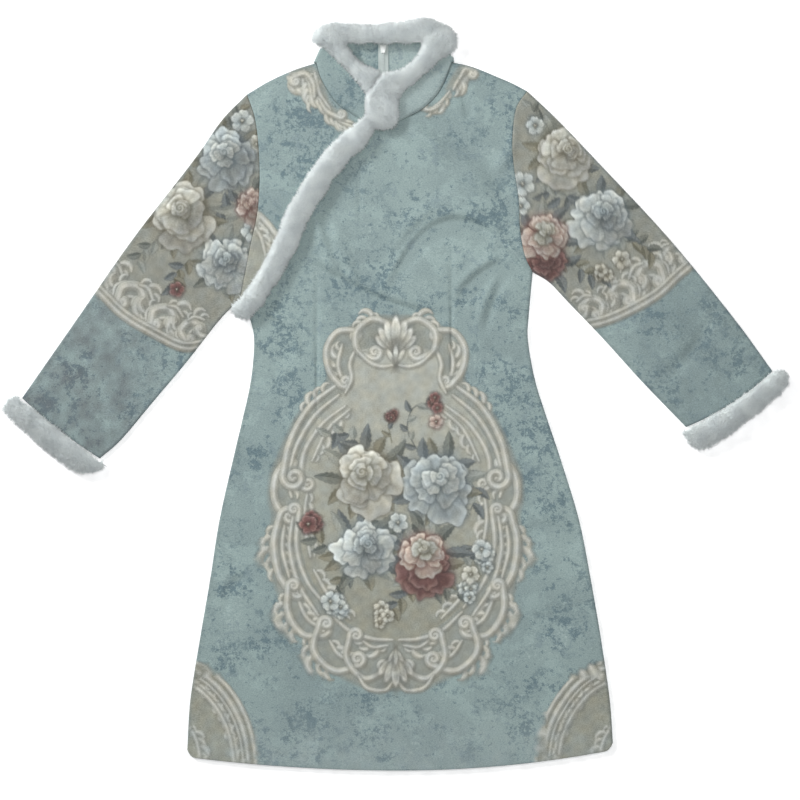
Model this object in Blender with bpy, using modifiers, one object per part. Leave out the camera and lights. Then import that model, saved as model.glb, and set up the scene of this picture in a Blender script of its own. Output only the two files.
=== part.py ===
# Cheongsam dress for winter, laid flat on its back, front side up.
# X runs to the right of the laid-out front, Y from hem to collar, Z up.
# Tables and sizes are in millimetres; the meshes are written in metres.
# The origin is under the middle of the whole garment.

import math
from collections import namedtuple

import bmesh
import bpy
from mathutils import Vector, geometry

MM = 0.001

# Driving sizes
CLOTH = 1.6              # thickness of the jacquard
SEAM = 0.3               # air between two sewn pieces
LOFT = 2.2               # how far the front stands off the back between its folded edges
LOFT_REACH = 11.0        # distance from a folded edge in which that loft builds up
EDGE_CURL = 1.0          # the back's edges lift off the table by this much
CURL_REACH = 9.0
FACE_STEP = 25.0         # spacing of the points of a panel that has folds
BACK_STEP = 75.0
EDGE_STEP = 17.0         # spacing of points along an outline
HEM_SAG_LEFT = 17.0      # the hem hangs lower in its middle than at its corners
HEM_SAG_RIGHT = 26.0
HEM_MIDDLE = (4.0, -477.0)
HEM_CORNER = 9.0
HEM_PIECES = 32
CURVE_PIECES = 24        # a smooth line is divided into so many between two places
RING_KEEP = 0.93         # share of a ring's distance below which its points are dropped
GRID_CLEAR = 0.45        # grid points keep this share of a step from the rings
FUR_RISE = 12.5          # height of a fur strip
FUR_EDGE = 2.2           # height of its thin outer edge
FUR_HALF_WIDTH = 15.0
FUR_STEP = 12.0
FUR_RINGS = (2.5, 7.0)   # distances of its rings of points from its outline
NECK_FUR_SEAT = 3.1      # the neck's fur lies on the zip and the back's neckline
NECK_FUR_STEP = 10.0     # its tail changes level within this distance
NECK_FUR_DROP = 5.0      # and its back strip within this one
TAIL_TOP = 372.0         # from here down its tail lies on the front
COLLAR_FRONT_LEVEL = 6.1 # middle of the folded-over collar's wall
ZIP_TAPE_WIDTH = 13.0
ZIP_TAPE_THICK = 0.8
ZIP_LENGTH = 430.0
ZIP_STEP = 60.0
SLIDER_SIZE = (8.5, 11.0, 2.6)
SLIDER_HEIGHT = 439.5    # place of its middle along the zip
SLIDER_BEVEL = 0.8

# Width of the body at heights between the hem and the underarms
Section = namedtuple("Section", "y left right")
BODY = (
    Section(-452, -266, 275),
    Section(-387, -262, 271),
    Section(-311, -250, 260),
    Section(-235, -237, 247),
    Section(-159, -225, 232),
    Section(-83, -208, 209),
    Section(-32, -196, 192),
    Section(19, -185, 176),
    Section(70, -181, 167),
    Section(100, -187, 168),
)
UNDERARM_LEFT = (-199, 121)
UNDERARM_RIGHT = (173, 156)
SLANT_FOOT = (-191, 107)

Place = namedtuple("Place", "x y")
SHOULDER_LEFT = (Place(-190, 382), Place(-161, 399), Place(-130, 413), Place(-102, 422))
SHOULDER_RIGHT = (Place(70, 423), Place(96, 417), Place(126, 405), Place(147, 396), Place(166, 386))
ARMHOLE_LEFT = (Place(-190, 382), Place(-180, 352), Place(-175, 312), Place(-174, 269),
                Place(-177, 230), Place(-186, 188), Place(*UNDERARM_LEFT))
ARMHOLE_RIGHT = (Place(166, 386), Place(152, 364), Place(147, 324), Place(149, 290),
                 Place(155, 250), Place(157, 210), Place(163, 177), Place(*UNDERARM_RIGHT))
NECK_LEFT = (Place(-102, 422), Place(-95, 400), Place(-77, 372), Place(-58, 358), Place(-36, 345),
             Place(-17, 335))
NECK_RIGHT = (Place(-17, 335), Place(6, 349), Place(32, 363), Place(51, 381), Place(62, 401),
              Place(70, 423))
NECK_BACK = (Place(-102, 422), Place(-62, 408), Place(-17, 402), Place(32, 408), Place(70, 423))
SLANT = (Place(*SLANT_FOOT), Place(-171, 138), Place(-148, 175), Place(-127, 224), Place(-102, 267),
         Place(-75, 303), Place(-47, 328), Place(-17, 335))

# Folded edges of the sleeves from armhole to cuff: top edge, then underarm edge
SleeveRow = namedtuple("SleeveRow", "top_x top_y under_x under_y")
SLEEVE_LEFT = (
    SleeveRow(-190, 382, -199, 121),
    SleeveRow(-222, 349, -225, 95),
    SleeveRow(-258, 298, -265, 44),
    SleeveRow(-336, 197, -307, -6),
    SleeveRow(-407, 95, -350, -57),
    SleeveRow(-476, -4, -377, -81),
)
SLEEVE_RIGHT = (
    SleeveRow(166, 386, 173, 156),
    SleeveRow(203, 351, 194, 143),
    SleeveRow(250, 302, 218, 118),
    SleeveRow(346, 199, 264, 70),
    SleeveRow(429, 97, 312, 17),
    SleeveRow(478, 30, 368, -41),
)
CUFF_BOW_LEFT = 3.0      # the cuff line bows towards the hand
CUFF_BOW_RIGHT = 6.0

# Fur rings from the cuff line to their lip: their two ends in plan, and their height
CuffRow = namedtuple("CuffRow", "top_x top_y under_x under_y rise")
CUFF_LEFT = (
    CuffRow(-481, 0, -370, -86.5, 6.4),
    CuffRow(-488, -1, -372, -94, 11.5),
    CuffRow(-494, -4, -380, -99, 13.6),
    CuffRow(-500, -12, -393, -102, 12.0),
    CuffRow(-501, -20, -405, -101, 7.0),
)
CUFF_RIGHT = (
    CuffRow(482, 33, 360, -46.2, 6.4),
    CuffRow(490, 34, 364, -55, 11.5),
    CuffRow(496, 32, 372, -64, 13.6),
    CuffRow(501, 23, 383, -70, 12.0),
    CuffRow(499, 13, 395, -69, 7.0),
)
CUFF_LIP_BOW = 2.0
CUFF_WALL = 2.4          # fur pressed flat between the table and the mouth of the cuff
CUFF_MOUTH = 1.2         # height of that mouth

# Fur round the neck: outer and inner outline of each half, from centre back to centre front
FUR_NECK_LEFT_OUTER = (Place(-17, 471), Place(-46, 470), Place(-84, 472), Place(-101, 467),
                       Place(-107, 455), Place(-104, 446), Place(-94, 442))
FUR_NECK_LEFT_INNER = (Place(-17, 410), Place(-29, 412), Place(-50, 426), Place(-63, 443),
                       Place(-61, 449), Place(-17, 449))
FUR_NECK_RIGHT_OUTER = (Place(-17, 471), Place(11, 475), Place(40, 477.5), Place(68, 468),
                        Place(76, 453), Place(76, 439), Place(69, 432))
FUR_TAIL = (Place(2, 366), Place(1, 341), Place(-10, 336), Place(-26, 336), Place(-38, 341))
FUR_TAIL_SIDE = (Place(-38, 341), Place(-38, 378))
FUR_NECK_RIGHT_INNER = (Place(-17, 410), Place(5, 411), Place(25, 428), Place(33, 443),
                        Place(31, 449), Place(-17, 449))

# The slanted fur meets the tail between two heights, and ends in a round foot
FUR_FRONT_TOP = (366.0, 331.0)
FUR_FRONT_FOOT = (Place(-212, 110), Place(-203, 98), Place(-188, 93))
FUR_FOOT_CLEAR = 8.0     # the strip's edges end this far above the foot's points
FUR_TAIL_CLEAR = 2.0     # and this far before the tail

# Upper edge of the stand collar's front stretch, from the side fold to centre front
COLLAR_TOP_LEFT = (Place(-94, 442), Place(-73, 423), Place(-50, 397), Place(-38, 378))
COLLAR_TOP_RIGHT = (Place(69, 432), Place(55, 425), Place(31, 402), Place(8, 385), Place(2, 366))
COLLAR_BACK_TOP = 448.6  # height of the back stretch's upper edge
COLLAR_SIDE_LEFT = 440.0  # and where it ends at the side folds
COLLAR_SIDE_RIGHT = 429.5
COLLAR_END_LEFT = 46.0   # the front stretches stop this far from centre front, at the fur
COLLAR_END_RIGHT = 26.0
COLLAR_FOLD_STEPS = 5
COLLAR_SIDE_RUN = 0.4    # the back stretch's upper edge comes down over this last share of it
FUR_SEAM = 0.8           # air between the collar's upper edge and its fur

# Large soft folds of the front: a curve from start to end, bowed sideways;
# a negative rise is a trough
Fold = namedtuple("Fold", "x0 y0 x1 y1 bow reach rise")
FOLDS = (
    Fold(15, 336, 112, 262, 8, 17, 1.3),
    Fold(34, 349, 140, 259, 10, 14, -1.2),
    Fold(8, 206, 118, 231, 22, 12, 1.3),
    Fold(10, 172, 108, 212, 24, 13, -1.5),
    Fold(95, 198, 150, 180, 4, 12, -1.1),
    Fold(145, 160, 84, 124, -6, 13, -1.2),
    Fold(-92, 154, 30, 98, -6, 14, -1.5),
    Fold(-98, 128, 20, 76, -6, 15, 1.2),
    Fold(-83, 208, -68, 166, 3, 14, 1.3),
    Fold(-178, 96, -136, 62, 8, 14, -1.2),
    Fold(-205, -70, -160, -102, -3, 14, -1.2),
    Fold(-119, -335, -117, -452, 4, 17, -1.2),
    Fold(172, -176, 226, -186, 3, 15, -1.1),
    Fold(178, -292, 246, -282, 4, 16, -1.1),
    Fold(-258, 222, -196, 176, 8, 15, -1.1),
    Fold(-330, 88, -262, 62, 6, 15, 1.3),
    Fold(250, 190, 292, 128, -6, 15, -1.2),
    Fold(318, 112, 366, 62, 5, 16, 1.3),
)
FOLD_GAP = 1.2           # a trough stops this far above the back panel, clear of the zip
FOLD_OVERRUN = 0.3       # share of its length that a fold runs on past both ends
FOLD_FADE = 0.5          # and the share in which it fades in and out

COLOURS = {
    "teal_jacquard": ((0.263, 0.343, 0.340), 0.62),
    "white_fur": ((0.560, 0.580, 0.600), 0.95),
    "zip_tape": ((0.640, 0.650, 0.630), 0.80),
    "zip_slider": ((0.760, 0.770, 0.760), 0.35),
}


def clear_scene():
    for thing in list(bpy.data.objects):
        bpy.data.objects.remove(thing)


def smooth_line(places, step=EDGE_STEP):
    """Even points on a smooth curve through the places, both ends kept."""
    knots = [Vector((p[0], p[1])) for p in places]
    knots = [2 * knots[0] - knots[1]] + knots + [2 * knots[-1] - knots[-2]]
    dense = []
    for a, b, c, d in zip(knots, knots[1:], knots[2:], knots[3:]):
        for i in range(CURVE_PIECES):
            t = i / CURVE_PIECES
            dense.append(0.5 * (2 * b + (c - a) * t + (2 * a - 5 * b + 4 * c - d) * t * t
                                + (3 * b - a - 3 * c + d) * t ** 3))
    dense.append(knots[-2])
    return even_points(dense, step)


def even_points(line, step):
    lengths = [0.0]
    for a, b in zip(line, line[1:]):
        lengths.append(lengths[-1] + (b - a).length)
    count = max(1, round(lengths[-1] / step))
    return [point_along(line, lengths, lengths[-1] * i / count) for i in range(count + 1)]


def point_along(line, lengths, distance):
    for i in range(1, len(line)):
        if lengths[i] >= distance or i == len(line) - 1:
            span = lengths[i] - lengths[i - 1]
            part = (distance - lengths[i - 1]) / span if span else 0.0
            return line[i - 1].lerp(line[i], min(1.0, max(0.0, part)))


def joined_line(*tables):
    """One line through several tables, each smoothed by itself."""
    line = []
    for table in tables:
        line += smooth_line(table, FUR_STEP)
    return line


def at_share(line, share):
    """The point at a share of a line's length."""
    lengths = [0.0]
    for a, b in zip(line, line[1:]):
        lengths.append(lengths[-1] + (b - a).length)
    return point_along(line, lengths, lengths[-1] * share)


def hem_line():
    """The hem from its left corner to its right one, with both corners rounded."""
    left, right = BODY[0].left, BODY[0].right
    middle, low = HEM_MIDDLE
    line = []
    for i in range(HEM_PIECES + 1):
        x = left + (right - left) * i / HEM_PIECES
        sag, half = (HEM_SAG_LEFT, middle - left) if x < middle else (HEM_SAG_RIGHT, right - middle)
        inset = HEM_CORNER * max(0.0, 1 - min(x - left, right - x) / HEM_CORNER) ** 2
        line.append(Vector((x, low + sag * ((x - middle) / half) ** 2 + inset)))
    return even_points(line, EDGE_STEP)


def outline_curves():
    side_left = [Place(row.left, row.y) for row in BODY]
    side_right = [Place(row.right, row.y) for row in BODY] + [Place(*UNDERARM_RIGHT)]
    curves = {
        "hem": hem_line(),
        "side_left": smooth_line(side_left),
        "side_left_top": smooth_line([SLANT_FOOT, UNDERARM_LEFT]),
        "side_right": smooth_line(side_right),
        "armhole_left": smooth_line(ARMHOLE_LEFT),
        "armhole_right": smooth_line(ARMHOLE_RIGHT),
        "shoulder_left": smooth_line(SHOULDER_LEFT),
        "shoulder_right": smooth_line(SHOULDER_RIGHT),
        "neck_left": smooth_line(NECK_LEFT, 10),
        "neck_right": smooth_line(NECK_RIGHT, 10),
        "neck_back": smooth_line(NECK_BACK, 12),
        "slant": smooth_line(SLANT),
        "centre_back": [Vector((NECK_BACK[2].x, NECK_BACK[2].y))]
        + [Vector(((row.left + row.right) / 2, row.y)) for row in reversed(BODY)],
    }
    curves["side_left"][0] = curves["hem"][0]
    curves["side_right"][0] = curves["hem"][-1]
    for side, rows in (("left", SLEEVE_LEFT), ("right", SLEEVE_RIGHT)):
        curves["sleeve_top_" + side] = smooth_line([(r.top_x, r.top_y) for r in rows])
        curves["sleeve_under_" + side] = smooth_line([(r.under_x, r.under_y) for r in rows])
    return curves


CURVES = outline_curves()
FOLDED_EDGES = ("side_left", "side_left_top", "side_right", "shoulder_left", "shoulder_right",
                "sleeve_top_left", "sleeve_top_right", "sleeve_under_left", "sleeve_under_right")


def distance_to_line(point, line):
    best = math.inf
    for a, b in zip(line, line[1:]):
        along = b - a
        share = max(0.0, min(1.0, (point - a).dot(along) / max(along.length_squared, 1e-9)))
        best = min(best, (a + along * share - point).length)
    return best


def edge_distance(point):
    """Distance in plan to the nearest folded edge of the laid-out garment."""
    return min(distance_to_line(point, CURVES[name]) for name in FOLDED_EDGES)


def ease(value):
    value = max(0.0, min(1.0, value))
    return value * value * (3 - 2 * value)


def fold_rise(point):
    """Height that the soft folds add at a point of the front."""
    total = 0.0
    for fold in FOLDS:
        start, end = Vector((fold.x0, fold.y0)), Vector((fold.x1, fold.y1))
        side = Vector((start.y - end.y, end.x - start.x)).normalized()
        along = (point - start).dot((end - start).normalized()) / (end - start).length
        if not -FOLD_OVERRUN < along < 1 + FOLD_OVERRUN:
            continue
        centre = start.lerp(end, along) + side * fold.bow * 4 * along * (1 - along)
        fade = ease((along + FOLD_OVERRUN) / FOLD_FADE)
        fade *= ease((1 + FOLD_OVERRUN - along) / FOLD_FADE)
        total += fold.rise * fade * math.exp(-((point - centre).length / fold.reach) ** 2)
    return total


def back_under(point):
    return EDGE_CURL * (1 - ease(edge_distance(point) / CURL_REACH))


def back_top(point):
    return back_under(point) + CLOTH


def front_under(point):
    """Inner face of the front: over the back, raised by loft and folds, pressed at the edges."""
    distance = edge_distance(point)
    share = 1 - math.exp(-distance / LOFT_REACH)
    lift = (LOFT + fold_rise(point)) * share
    return back_under(point) + CLOTH + SEAM + max(FOLD_GAP * share, lift)


def front_top(point):
    return front_under(point) + CLOTH


def inside(point, outline):
    hit = False
    for a, b in zip(outline, outline[1:] + outline[:1]):
        if (a.y > point.y) != (b.y > point.y):
            if point.x < a.x + (point.y - a.y) * (b.x - a.x) / (b.y - a.y):
                hit = not hit
    return hit


def joined(*lines):
    """One closed outline from lines that follow each other."""
    outline = []
    for line in lines:
        for point in line:
            if not outline or (outline[-1] - point).length > 1e-4:
                outline.append(point)
    if (outline[0] - outline[-1]).length < 1e-4:
        outline.pop()
    area = sum(a.x * b.y - b.x * a.y for a, b in zip(outline, outline[1:] + outline[:1]))
    return outline if area > 0 else outline[::-1]


def aside(line, amount):
    """The line moved to its right by an amount."""
    moved = []
    for number, point in enumerate(line):
        before, after = line[max(0, number - 1)], line[min(len(line) - 1, number + 1)]
        along = (after - before).normalized()
        moved.append(point + Vector((along.y, -along.x)) * amount)
    return moved


def inset(outline, amount):
    """The outline, anticlockwise, moved inwards by an amount."""
    result = []
    for before, here, after in zip(outline[-1:] + outline[:-1], outline, outline[1:] + outline[:1]):
        one, two = (here - before).normalized(), (after - here).normalized()
        left_one, left_two = Vector((-one.y, one.x)), Vector((-two.y, two.x))
        middle = (left_one + left_two).normalized()
        result.append(here + middle * amount / max(0.35, middle.dot(left_one)))
    return result


def plan_faces(outline, step, rings=()):
    """Triangles that fill an outline, with points on a staggered grid and on inner rings."""
    closed = outline + outline[:1]
    inner = []
    for ring in rings:
        for point in inset(outline, ring):
            if inside(point, outline) and distance_to_line(point, closed) > ring * RING_KEEP:
                inner.append(point)
    clear = max(rings) if rings else 0.0
    low_x, low_y = min(p.x for p in outline), min(p.y for p in outline)
    wide = max(p.x for p in outline) - low_x
    tall = max(p.y for p in outline) - low_y
    row_step = step * math.sqrt(3) / 2
    for row in range(1, int(tall / row_step) + 1):
        for column in range(int(wide / step) + 2):
            point = Vector((low_x + step * (column + 0.5 * (row % 2)), low_y + row_step * row))
            reach = distance_to_line(point, closed)
            if inside(point, outline) and reach > clear + step * GRID_CLEAR:
                inner.append(point)
    points = outline + inner
    rim = list(range(len(outline)))
    found = geometry.delaunay_2d_cdt(points, [], [rim], 1, 1e-5)
    return found[0], found[2]


def new_piece(name, mesh_builder, material):
    body = bmesh.new()
    mesh_builder(body)
    bmesh.ops.recalc_face_normals(body, faces=body.faces)
    bmesh.ops.scale(body, vec=(MM, MM, MM), verts=body.verts)
    mesh = bpy.data.meshes.new(name)
    body.to_mesh(mesh)
    body.free()
    mesh.materials.append(material)
    mesh.shade_smooth()
    mesh.set_sharp_from_angle(angle=math.radians(40))
    piece = bpy.data.objects.new(name, mesh)
    collection.objects.link(piece)
    return piece


def layer(name, outline, under, thickness, material, step, rings=()):
    """A flat-lying piece: its lower face filled in plan, then extruded to its upper face."""
    outline = inset(outline, SEAM / 2)
    points, faces = plan_faces(outline, step, rings)

    def fill(body):
        low = [body.verts.new((p.x, p.y, under(p))) for p in points]
        lower = [body.faces.new([low[i] for i in face]) for face in faces]
        grown = bmesh.ops.extrude_face_region(body, geom=lower, use_keep_orig=True)
        for vert in [g for g in grown["geom"] if isinstance(g, bmesh.types.BMVert)]:
            vert.co.z += thickness(Vector((vert.co.x, vert.co.y)))

    return new_piece(name, fill, material)


def cloth(point):
    return CLOTH


# Body panels

def front_panel(material):
    outline = joined(CURVES["hem"], CURVES["side_right"], CURVES["armhole_right"][::-1],
                     CURVES["shoulder_right"][::-1], CURVES["neck_right"][::-1],
                     CURVES["slant"][::-1], CURVES["side_left"][::-1])
    layer("front_panel", outline, front_under, cloth, material, FACE_STEP, (8.0,))


def front_underlap(material):
    outline = joined(CURVES["slant"], CURVES["neck_left"][::-1], CURVES["shoulder_left"][::-1],
                     CURVES["armhole_left"], CURVES["side_left_top"][::-1])
    layer("front_underlap", outline, front_under, cloth, material, FACE_STEP, (8.0,))


def back_panel(side, material):
    """Half of the back, up to the centre-back seam that holds the zip."""
    centre = CURVES["centre_back"]
    hem = CURVES["hem"]
    cut = min(range(len(hem)), key=lambda i: abs(hem[i].x - centre[-1].x))
    neck = CURVES["neck_back"]
    dip = min(range(len(neck)), key=lambda i: abs(neck[i].x - centre[0].x))
    if side == "left":
        outline = joined(hem[:cut + 1], centre[::-1], neck[:dip][::-1],
                         CURVES["shoulder_left"][::-1], CURVES["armhole_left"],
                         CURVES["side_left_top"][::-1], CURVES["side_left"][::-1])
    else:
        outline = joined(hem[cut:], CURVES["side_right"], CURVES["armhole_right"][::-1],
                         CURVES["shoulder_right"][::-1], neck[dip + 1:][::-1], centre)
    layer("back_" + side, outline, back_under, cloth, material, BACK_STEP, (CURL_REACH,))


# Sleeves and fur cuffs are flattened tubes

def flat_tube(name, stations, material):
    """A loft through rings: each station is an outer ring and an inner ring of points."""

    def fill(body):
        rings = [[[body.verts.new(p) for p in ring] for ring in pair] for pair in stations]
        count = len(rings[0][0])
        for one, two in zip(rings, rings[1:]):
            for which in (0, 1):
                for i in range(count):
                    j = (i + 1) % count
                    body.faces.new((one[which][i], one[which][j], two[which][j], two[which][i]))
        for outer, inner in (rings[0], rings[-1]):
            for i in range(count):
                j = (i + 1) % count
                body.faces.new((outer[i], outer[j], inner[j], inner[i]))

    return new_piece(name, fill, material)


SLEEVE_STATIONS = 13
FOLD_NOSE = 1.3          # the folded edge is rounded over this width
NOSE_HALF = 0.8          # half the height of its outermost face
SLIT_HALF = 0.12         # half the height of the tube's hollow at the fold
CUFF_WAY = 0.9           # the cuff looks along the last part of the sleeve's top edge


def sleeve(side, material):
    armhole = aside(CURVES["armhole_" + side], SEAM if side == "left" else -SEAM)
    top_edge, under_edge = CURVES["sleeve_top_" + side], CURVES["sleeve_under_" + side]
    bow = CUFF_BOW_LEFT if side == "left" else CUFF_BOW_RIGHT
    first, last = top_edge[-1], under_edge[-1]
    panels = len(armhole) - 1
    outwards = (first - at_share(top_edge, CUFF_WAY)).normalized()
    stations = []
    for row in range(SLEEVE_STATIONS):
        share = row / (SLEEVE_STATIONS - 1)
        high, low = at_share(top_edge, share), at_share(under_edge, share)

        def place(across):
            """Coons patch between the armhole, the cuff line and the two folded edges."""
            cuff = first.lerp(last, across) + outwards * bow * 4 * across * (1 - across)
            sides = high.lerp(low, across)
            ends = at_share(armhole, across).lerp(cuff, share)
            corners = top_edge[0].lerp(under_edge[0], across).lerp(first.lerp(last, across), share)
            return sides + ends - corners - outwards * SEAM * share

        width = (low - high).length
        columns = [0.0, FOLD_NOSE] + [width * i / panels for i in range(1, panels)]
        columns += [width - FOLD_NOSE, width]
        last_column = len(columns) - 1
        outer_top, outer_low, inner_top, inner_low = [], [], [], []
        for number, reach in enumerate(columns):
            nose = number in (0, last_column)
            spot = place(reach / width)
            low_z, high_z = back_under(spot), front_top(spot)
            middle = (low_z + high_z) / 2
            outer_top.append((spot.x, spot.y, middle + NOSE_HALF if nose else high_z))
            outer_low.append((spot.x, spot.y, middle - NOSE_HALF if nose else low_z))
            tuck = 0.0
            if number < 2:
                tuck = CLOTH + NOSE_HALF
            elif number > last_column - 2:
                tuck = -CLOTH - NOSE_HALF
            spot = place((reach + tuck) / width)
            half = SLIT_HALF if nose else (high_z - low_z) / 2 - CLOTH
            inner_top.append((spot.x, spot.y, middle + half))
            inner_low.append((spot.x, spot.y, middle - half))
        stations.append((outer_top + outer_low[::-1], inner_top + inner_low[::-1]))
    flat_tube("sleeve_" + side, stations, material)


CUFF_COLUMNS = 9
CUFF_SIDE = 3.6          # height of the ring's outer end faces
CUFF_SEAT = (2.2, 1.6)   # its ends and its first and last rings stand off the table
CUFF_SWELL = 0.6         # the smaller, the fuller its section
CUFF_SEAT_SHARE = 0.8
CUFF_RIM_RUN = 1.6       # where along the ring it comes down and lifts again
CUFF_RIM_START = 0.2
MOUTH_SHARE = 0.9        # width of the mouth against the ring
MOUTH_LIFT = 0.4
MOUTH_SLIT = 0.15        # share of its height that is left at its two ends


def cuff_seat(swell, share):
    """How far the ring's lower side stands off the table."""
    ends, rims = CUFF_SEAT
    rim = 1 - math.sin(math.pi * min(1.0, share * CUFF_RIM_RUN + CUFF_RIM_START))
    return max(0.0, ends * (1 - swell) + rims * rim) * CUFF_SEAT_SHARE


def fur_cuff(side, material):
    rows = CUFF_LEFT if side == "left" else CUFF_RIGHT
    stations = []
    for number, row in enumerate(rows):
        share = number / (len(rows) - 1)
        high, low = Vector((row.top_x, row.top_y)), Vector((row.under_x, row.under_y))
        across_way = (low - high).normalized()
        outwards = Vector((-across_way.y, across_way.x))
        if outwards.dot(high) < 0:
            outwards.negate()
        bow = CUFF_BOW_LEFT if side == "left" else CUFF_BOW_RIGHT
        bow = bow * (1 - share) + CUFF_LIP_BOW * share
        outer_top, outer_low, inner_top, inner_low = [], [], [], []
        for column in range(CUFF_COLUMNS):
            turn = math.pi * column / (CUFF_COLUMNS - 1)
            across = 0.5 - 0.5 * math.cos(turn)
            spot = high.lerp(low, across) + outwards * (SEAM + bow * 4 * across * (1 - across))
            swell = max(0.0, math.sin(turn)) ** CUFF_SWELL
            seat = cuff_seat(swell, share)
            outer_top.append((spot.x, spot.y, CUFF_SIDE + (row.rise - CUFF_SIDE) * swell))
            outer_low.append((spot.x, spot.y, seat if swell < 1 else 0.0))
            mouth = 0.5 + (across - 0.5) * MOUTH_SHARE
            spot = high.lerp(low, mouth) + outwards * (SEAM + bow * 4 * mouth * (1 - mouth))
            gap = CUFF_MOUTH * (MOUTH_SLIT + (1 - MOUTH_SLIT) * swell)
            inner_top.append((spot.x, spot.y, CUFF_WALL + MOUTH_LIFT + gap / 2))
            inner_low.append((spot.x, spot.y, CUFF_WALL + MOUTH_LIFT - gap / 2))
        stations.append((outer_top + outer_low[::-1], inner_top + inner_low[::-1]))
    flat_tube("fur_cuff_" + side, stations, material)


# Fur strips that lie on the garment

def fur_strip(name, outline, free_edges, seat, material):
    """A puffed strip: thin along its free edges, full height along its middle and its seams."""

    def rise(point):
        reach = min(distance_to_line(point, line) for line in free_edges)
        share = min(1.0, reach / FUR_HALF_WIDTH)
        return FUR_EDGE + (FUR_RISE - FUR_EDGE) * math.sqrt(1 - (1 - share) ** 2)

    layer(name, outline, seat, rise, material, FUR_STEP, FUR_RINGS)


def fur_front(material):
    """The strip along the slanted edge, from the neck's tail to the side seam."""
    middle = CURVES["slant"]
    left, right = aside(middle, -FUR_HALF_WIDTH), aside(middle, FUR_HALF_WIDTH)
    tail_edge = FUR_TAIL_SIDE[0].x
    high, low = FUR_FRONT_TOP
    stop = tail_edge - FUR_TAIL_CLEAR
    left = [p for p in left if p.x < stop and p.y < high] + [Vector((tail_edge, high))]
    right = [p for p in right if p.x < stop] + [Vector((tail_edge, low))]
    foot = [Vector(p) for p in FUR_FRONT_FOOT]
    left = [p for p in left if p.y > foot[0].y + FUR_FOOT_CLEAR]
    right = [p for p in right if p.y > foot[-1].y + FUR_FOOT_CLEAR]
    outline = joined(foot, right, left[::-1])
    free = (foot + right, foot[:1] + left)

    def seat(point):
        return front_top(point) + SEAM

    fur_strip("fur_front", outline, free, seat, material)


def neck_seat(point):
    """The back strip lies on the table, the V on the back's neckline, the tail on the front."""
    seat = NECK_FUR_SEAT * ease((COLLAR_BACK_TOP + NECK_FUR_STEP - point.y) / NECK_FUR_DROP)
    tail = ease((TAIL_TOP - point.y) / NECK_FUR_STEP)
    return seat + (front_top(point) + 2 * SEAM - seat) * tail


def fur_collar(side, material):
    if side == "left":
        outer = joined_line(FUR_NECK_LEFT_OUTER, COLLAR_TOP_LEFT)
        inner = smooth_line(FUR_NECK_LEFT_INNER, FUR_STEP)
        outline = joined(outer, inner)
        free = (outer, inner)
    else:
        outer = joined_line(FUR_NECK_RIGHT_OUTER, COLLAR_TOP_RIGHT, FUR_TAIL, FUR_TAIL_SIDE)
        inner = smooth_line(FUR_NECK_RIGHT_INNER, FUR_STEP)
        outline = joined(outer, inner)
        free = (outer[:-2], inner)
    fur_strip("fur_collar_" + side, outline, free, neck_seat, material)


# Stand collar, folded forward at the sides

def collar(side, material):
    """Band from centre back to centre front; its wall turns over at the side fold."""
    neck = CURVES["neck_back"]
    dip = min(range(len(neck)), key=lambda i: abs(neck[i].x - NECK_BACK[2].x))
    left = side == "left"
    out = -1.0 if left else 1.0
    back_seam = neck[:dip + 1][::-1] if left else neck[dip:]
    front_seam = CURVES["neck_left"] if left else CURVES["neck_right"][::-1]
    tops = COLLAR_TOP_LEFT if left else COLLAR_TOP_RIGHT
    front_top_edge = aside(smooth_line(tops), -out * FUR_SEAM)
    side_y = COLLAR_SIDE_LEFT if left else COLLAR_SIDE_RIGHT
    low_level = CLOTH / 2
    radius = (COLLAR_FRONT_LEVEL - low_level) / 2

    sections = []
    for number, low in enumerate(back_seam):
        share = number / (len(back_seam) - 1)
        drop = ease((share - 1 + COLLAR_SIDE_RUN) / COLLAR_SIDE_RUN)
        high_y = COLLAR_BACK_TOP + (side_y - COLLAR_BACK_TOP) * drop
        high = Vector((low.x + (tops[0].x - low.x) * share, high_y))
        sections.append((low + Vector((0, SEAM)), high, low_level, 0.0))
    sections[0][0].x += out * SEAM / 2
    sections[0][1].x += out * SEAM / 2
    low, high = sections[-1][0], sections[-1][1]
    for step in range(1, COLLAR_FOLD_STEPS):
        turn = math.pi * step / COLLAR_FOLD_STEPS
        bulge = Vector((out * math.sin(turn) * radius, 0))
        sections.append((low + bulge, high + bulge, low_level + radius * (1 - math.cos(turn)), turn))
    stop = COLLAR_END_LEFT if left else COLLAR_END_RIGHT
    kept = [p for p in front_seam if (p - front_seam[-1]).length > stop]
    for number, point in enumerate(kept):
        before, after = kept[max(0, number - 1)], kept[min(len(kept) - 1, number + 1)]
        along = (after - before).normalized()
        inwards = Vector((-along.y, along.x)) if left else Vector((along.y, -along.x))
        share = number / (len(kept) - 1)
        high = at_share(front_top_edge, share)
        sections.append((point + inwards * SEAM / 2 if number else low, high,
                         COLLAR_FRONT_LEVEL, math.pi))

    def fill(body):
        rings = []
        for low, high, level, turn in sections:
            normal = Vector((out * math.sin(turn), 0.0, -math.cos(turn))) * CLOTH / 2
            line = [low.to_3d(), low.lerp(high, 0.5).to_3d(), high.to_3d()]
            for point in line:
                point.z = level
            ring = [p + normal for p in line] + [p - normal for p in line[::-1]]
            rings.append([body.verts.new(p) for p in ring])
        for one, two in zip(rings, rings[1:]):
            for i in range(6):
                j = (i + 1) % 6
                body.faces.new((one[i], one[j], two[j], two[i]))
        for ring in (rings[0], rings[-1]):
            body.faces.new((ring[0], ring[1], ring[4], ring[5]))
            body.faces.new((ring[1], ring[2], ring[3], ring[4]))

    new_piece("collar_" + side, fill, material)


# Zip inside the centre back

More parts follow.
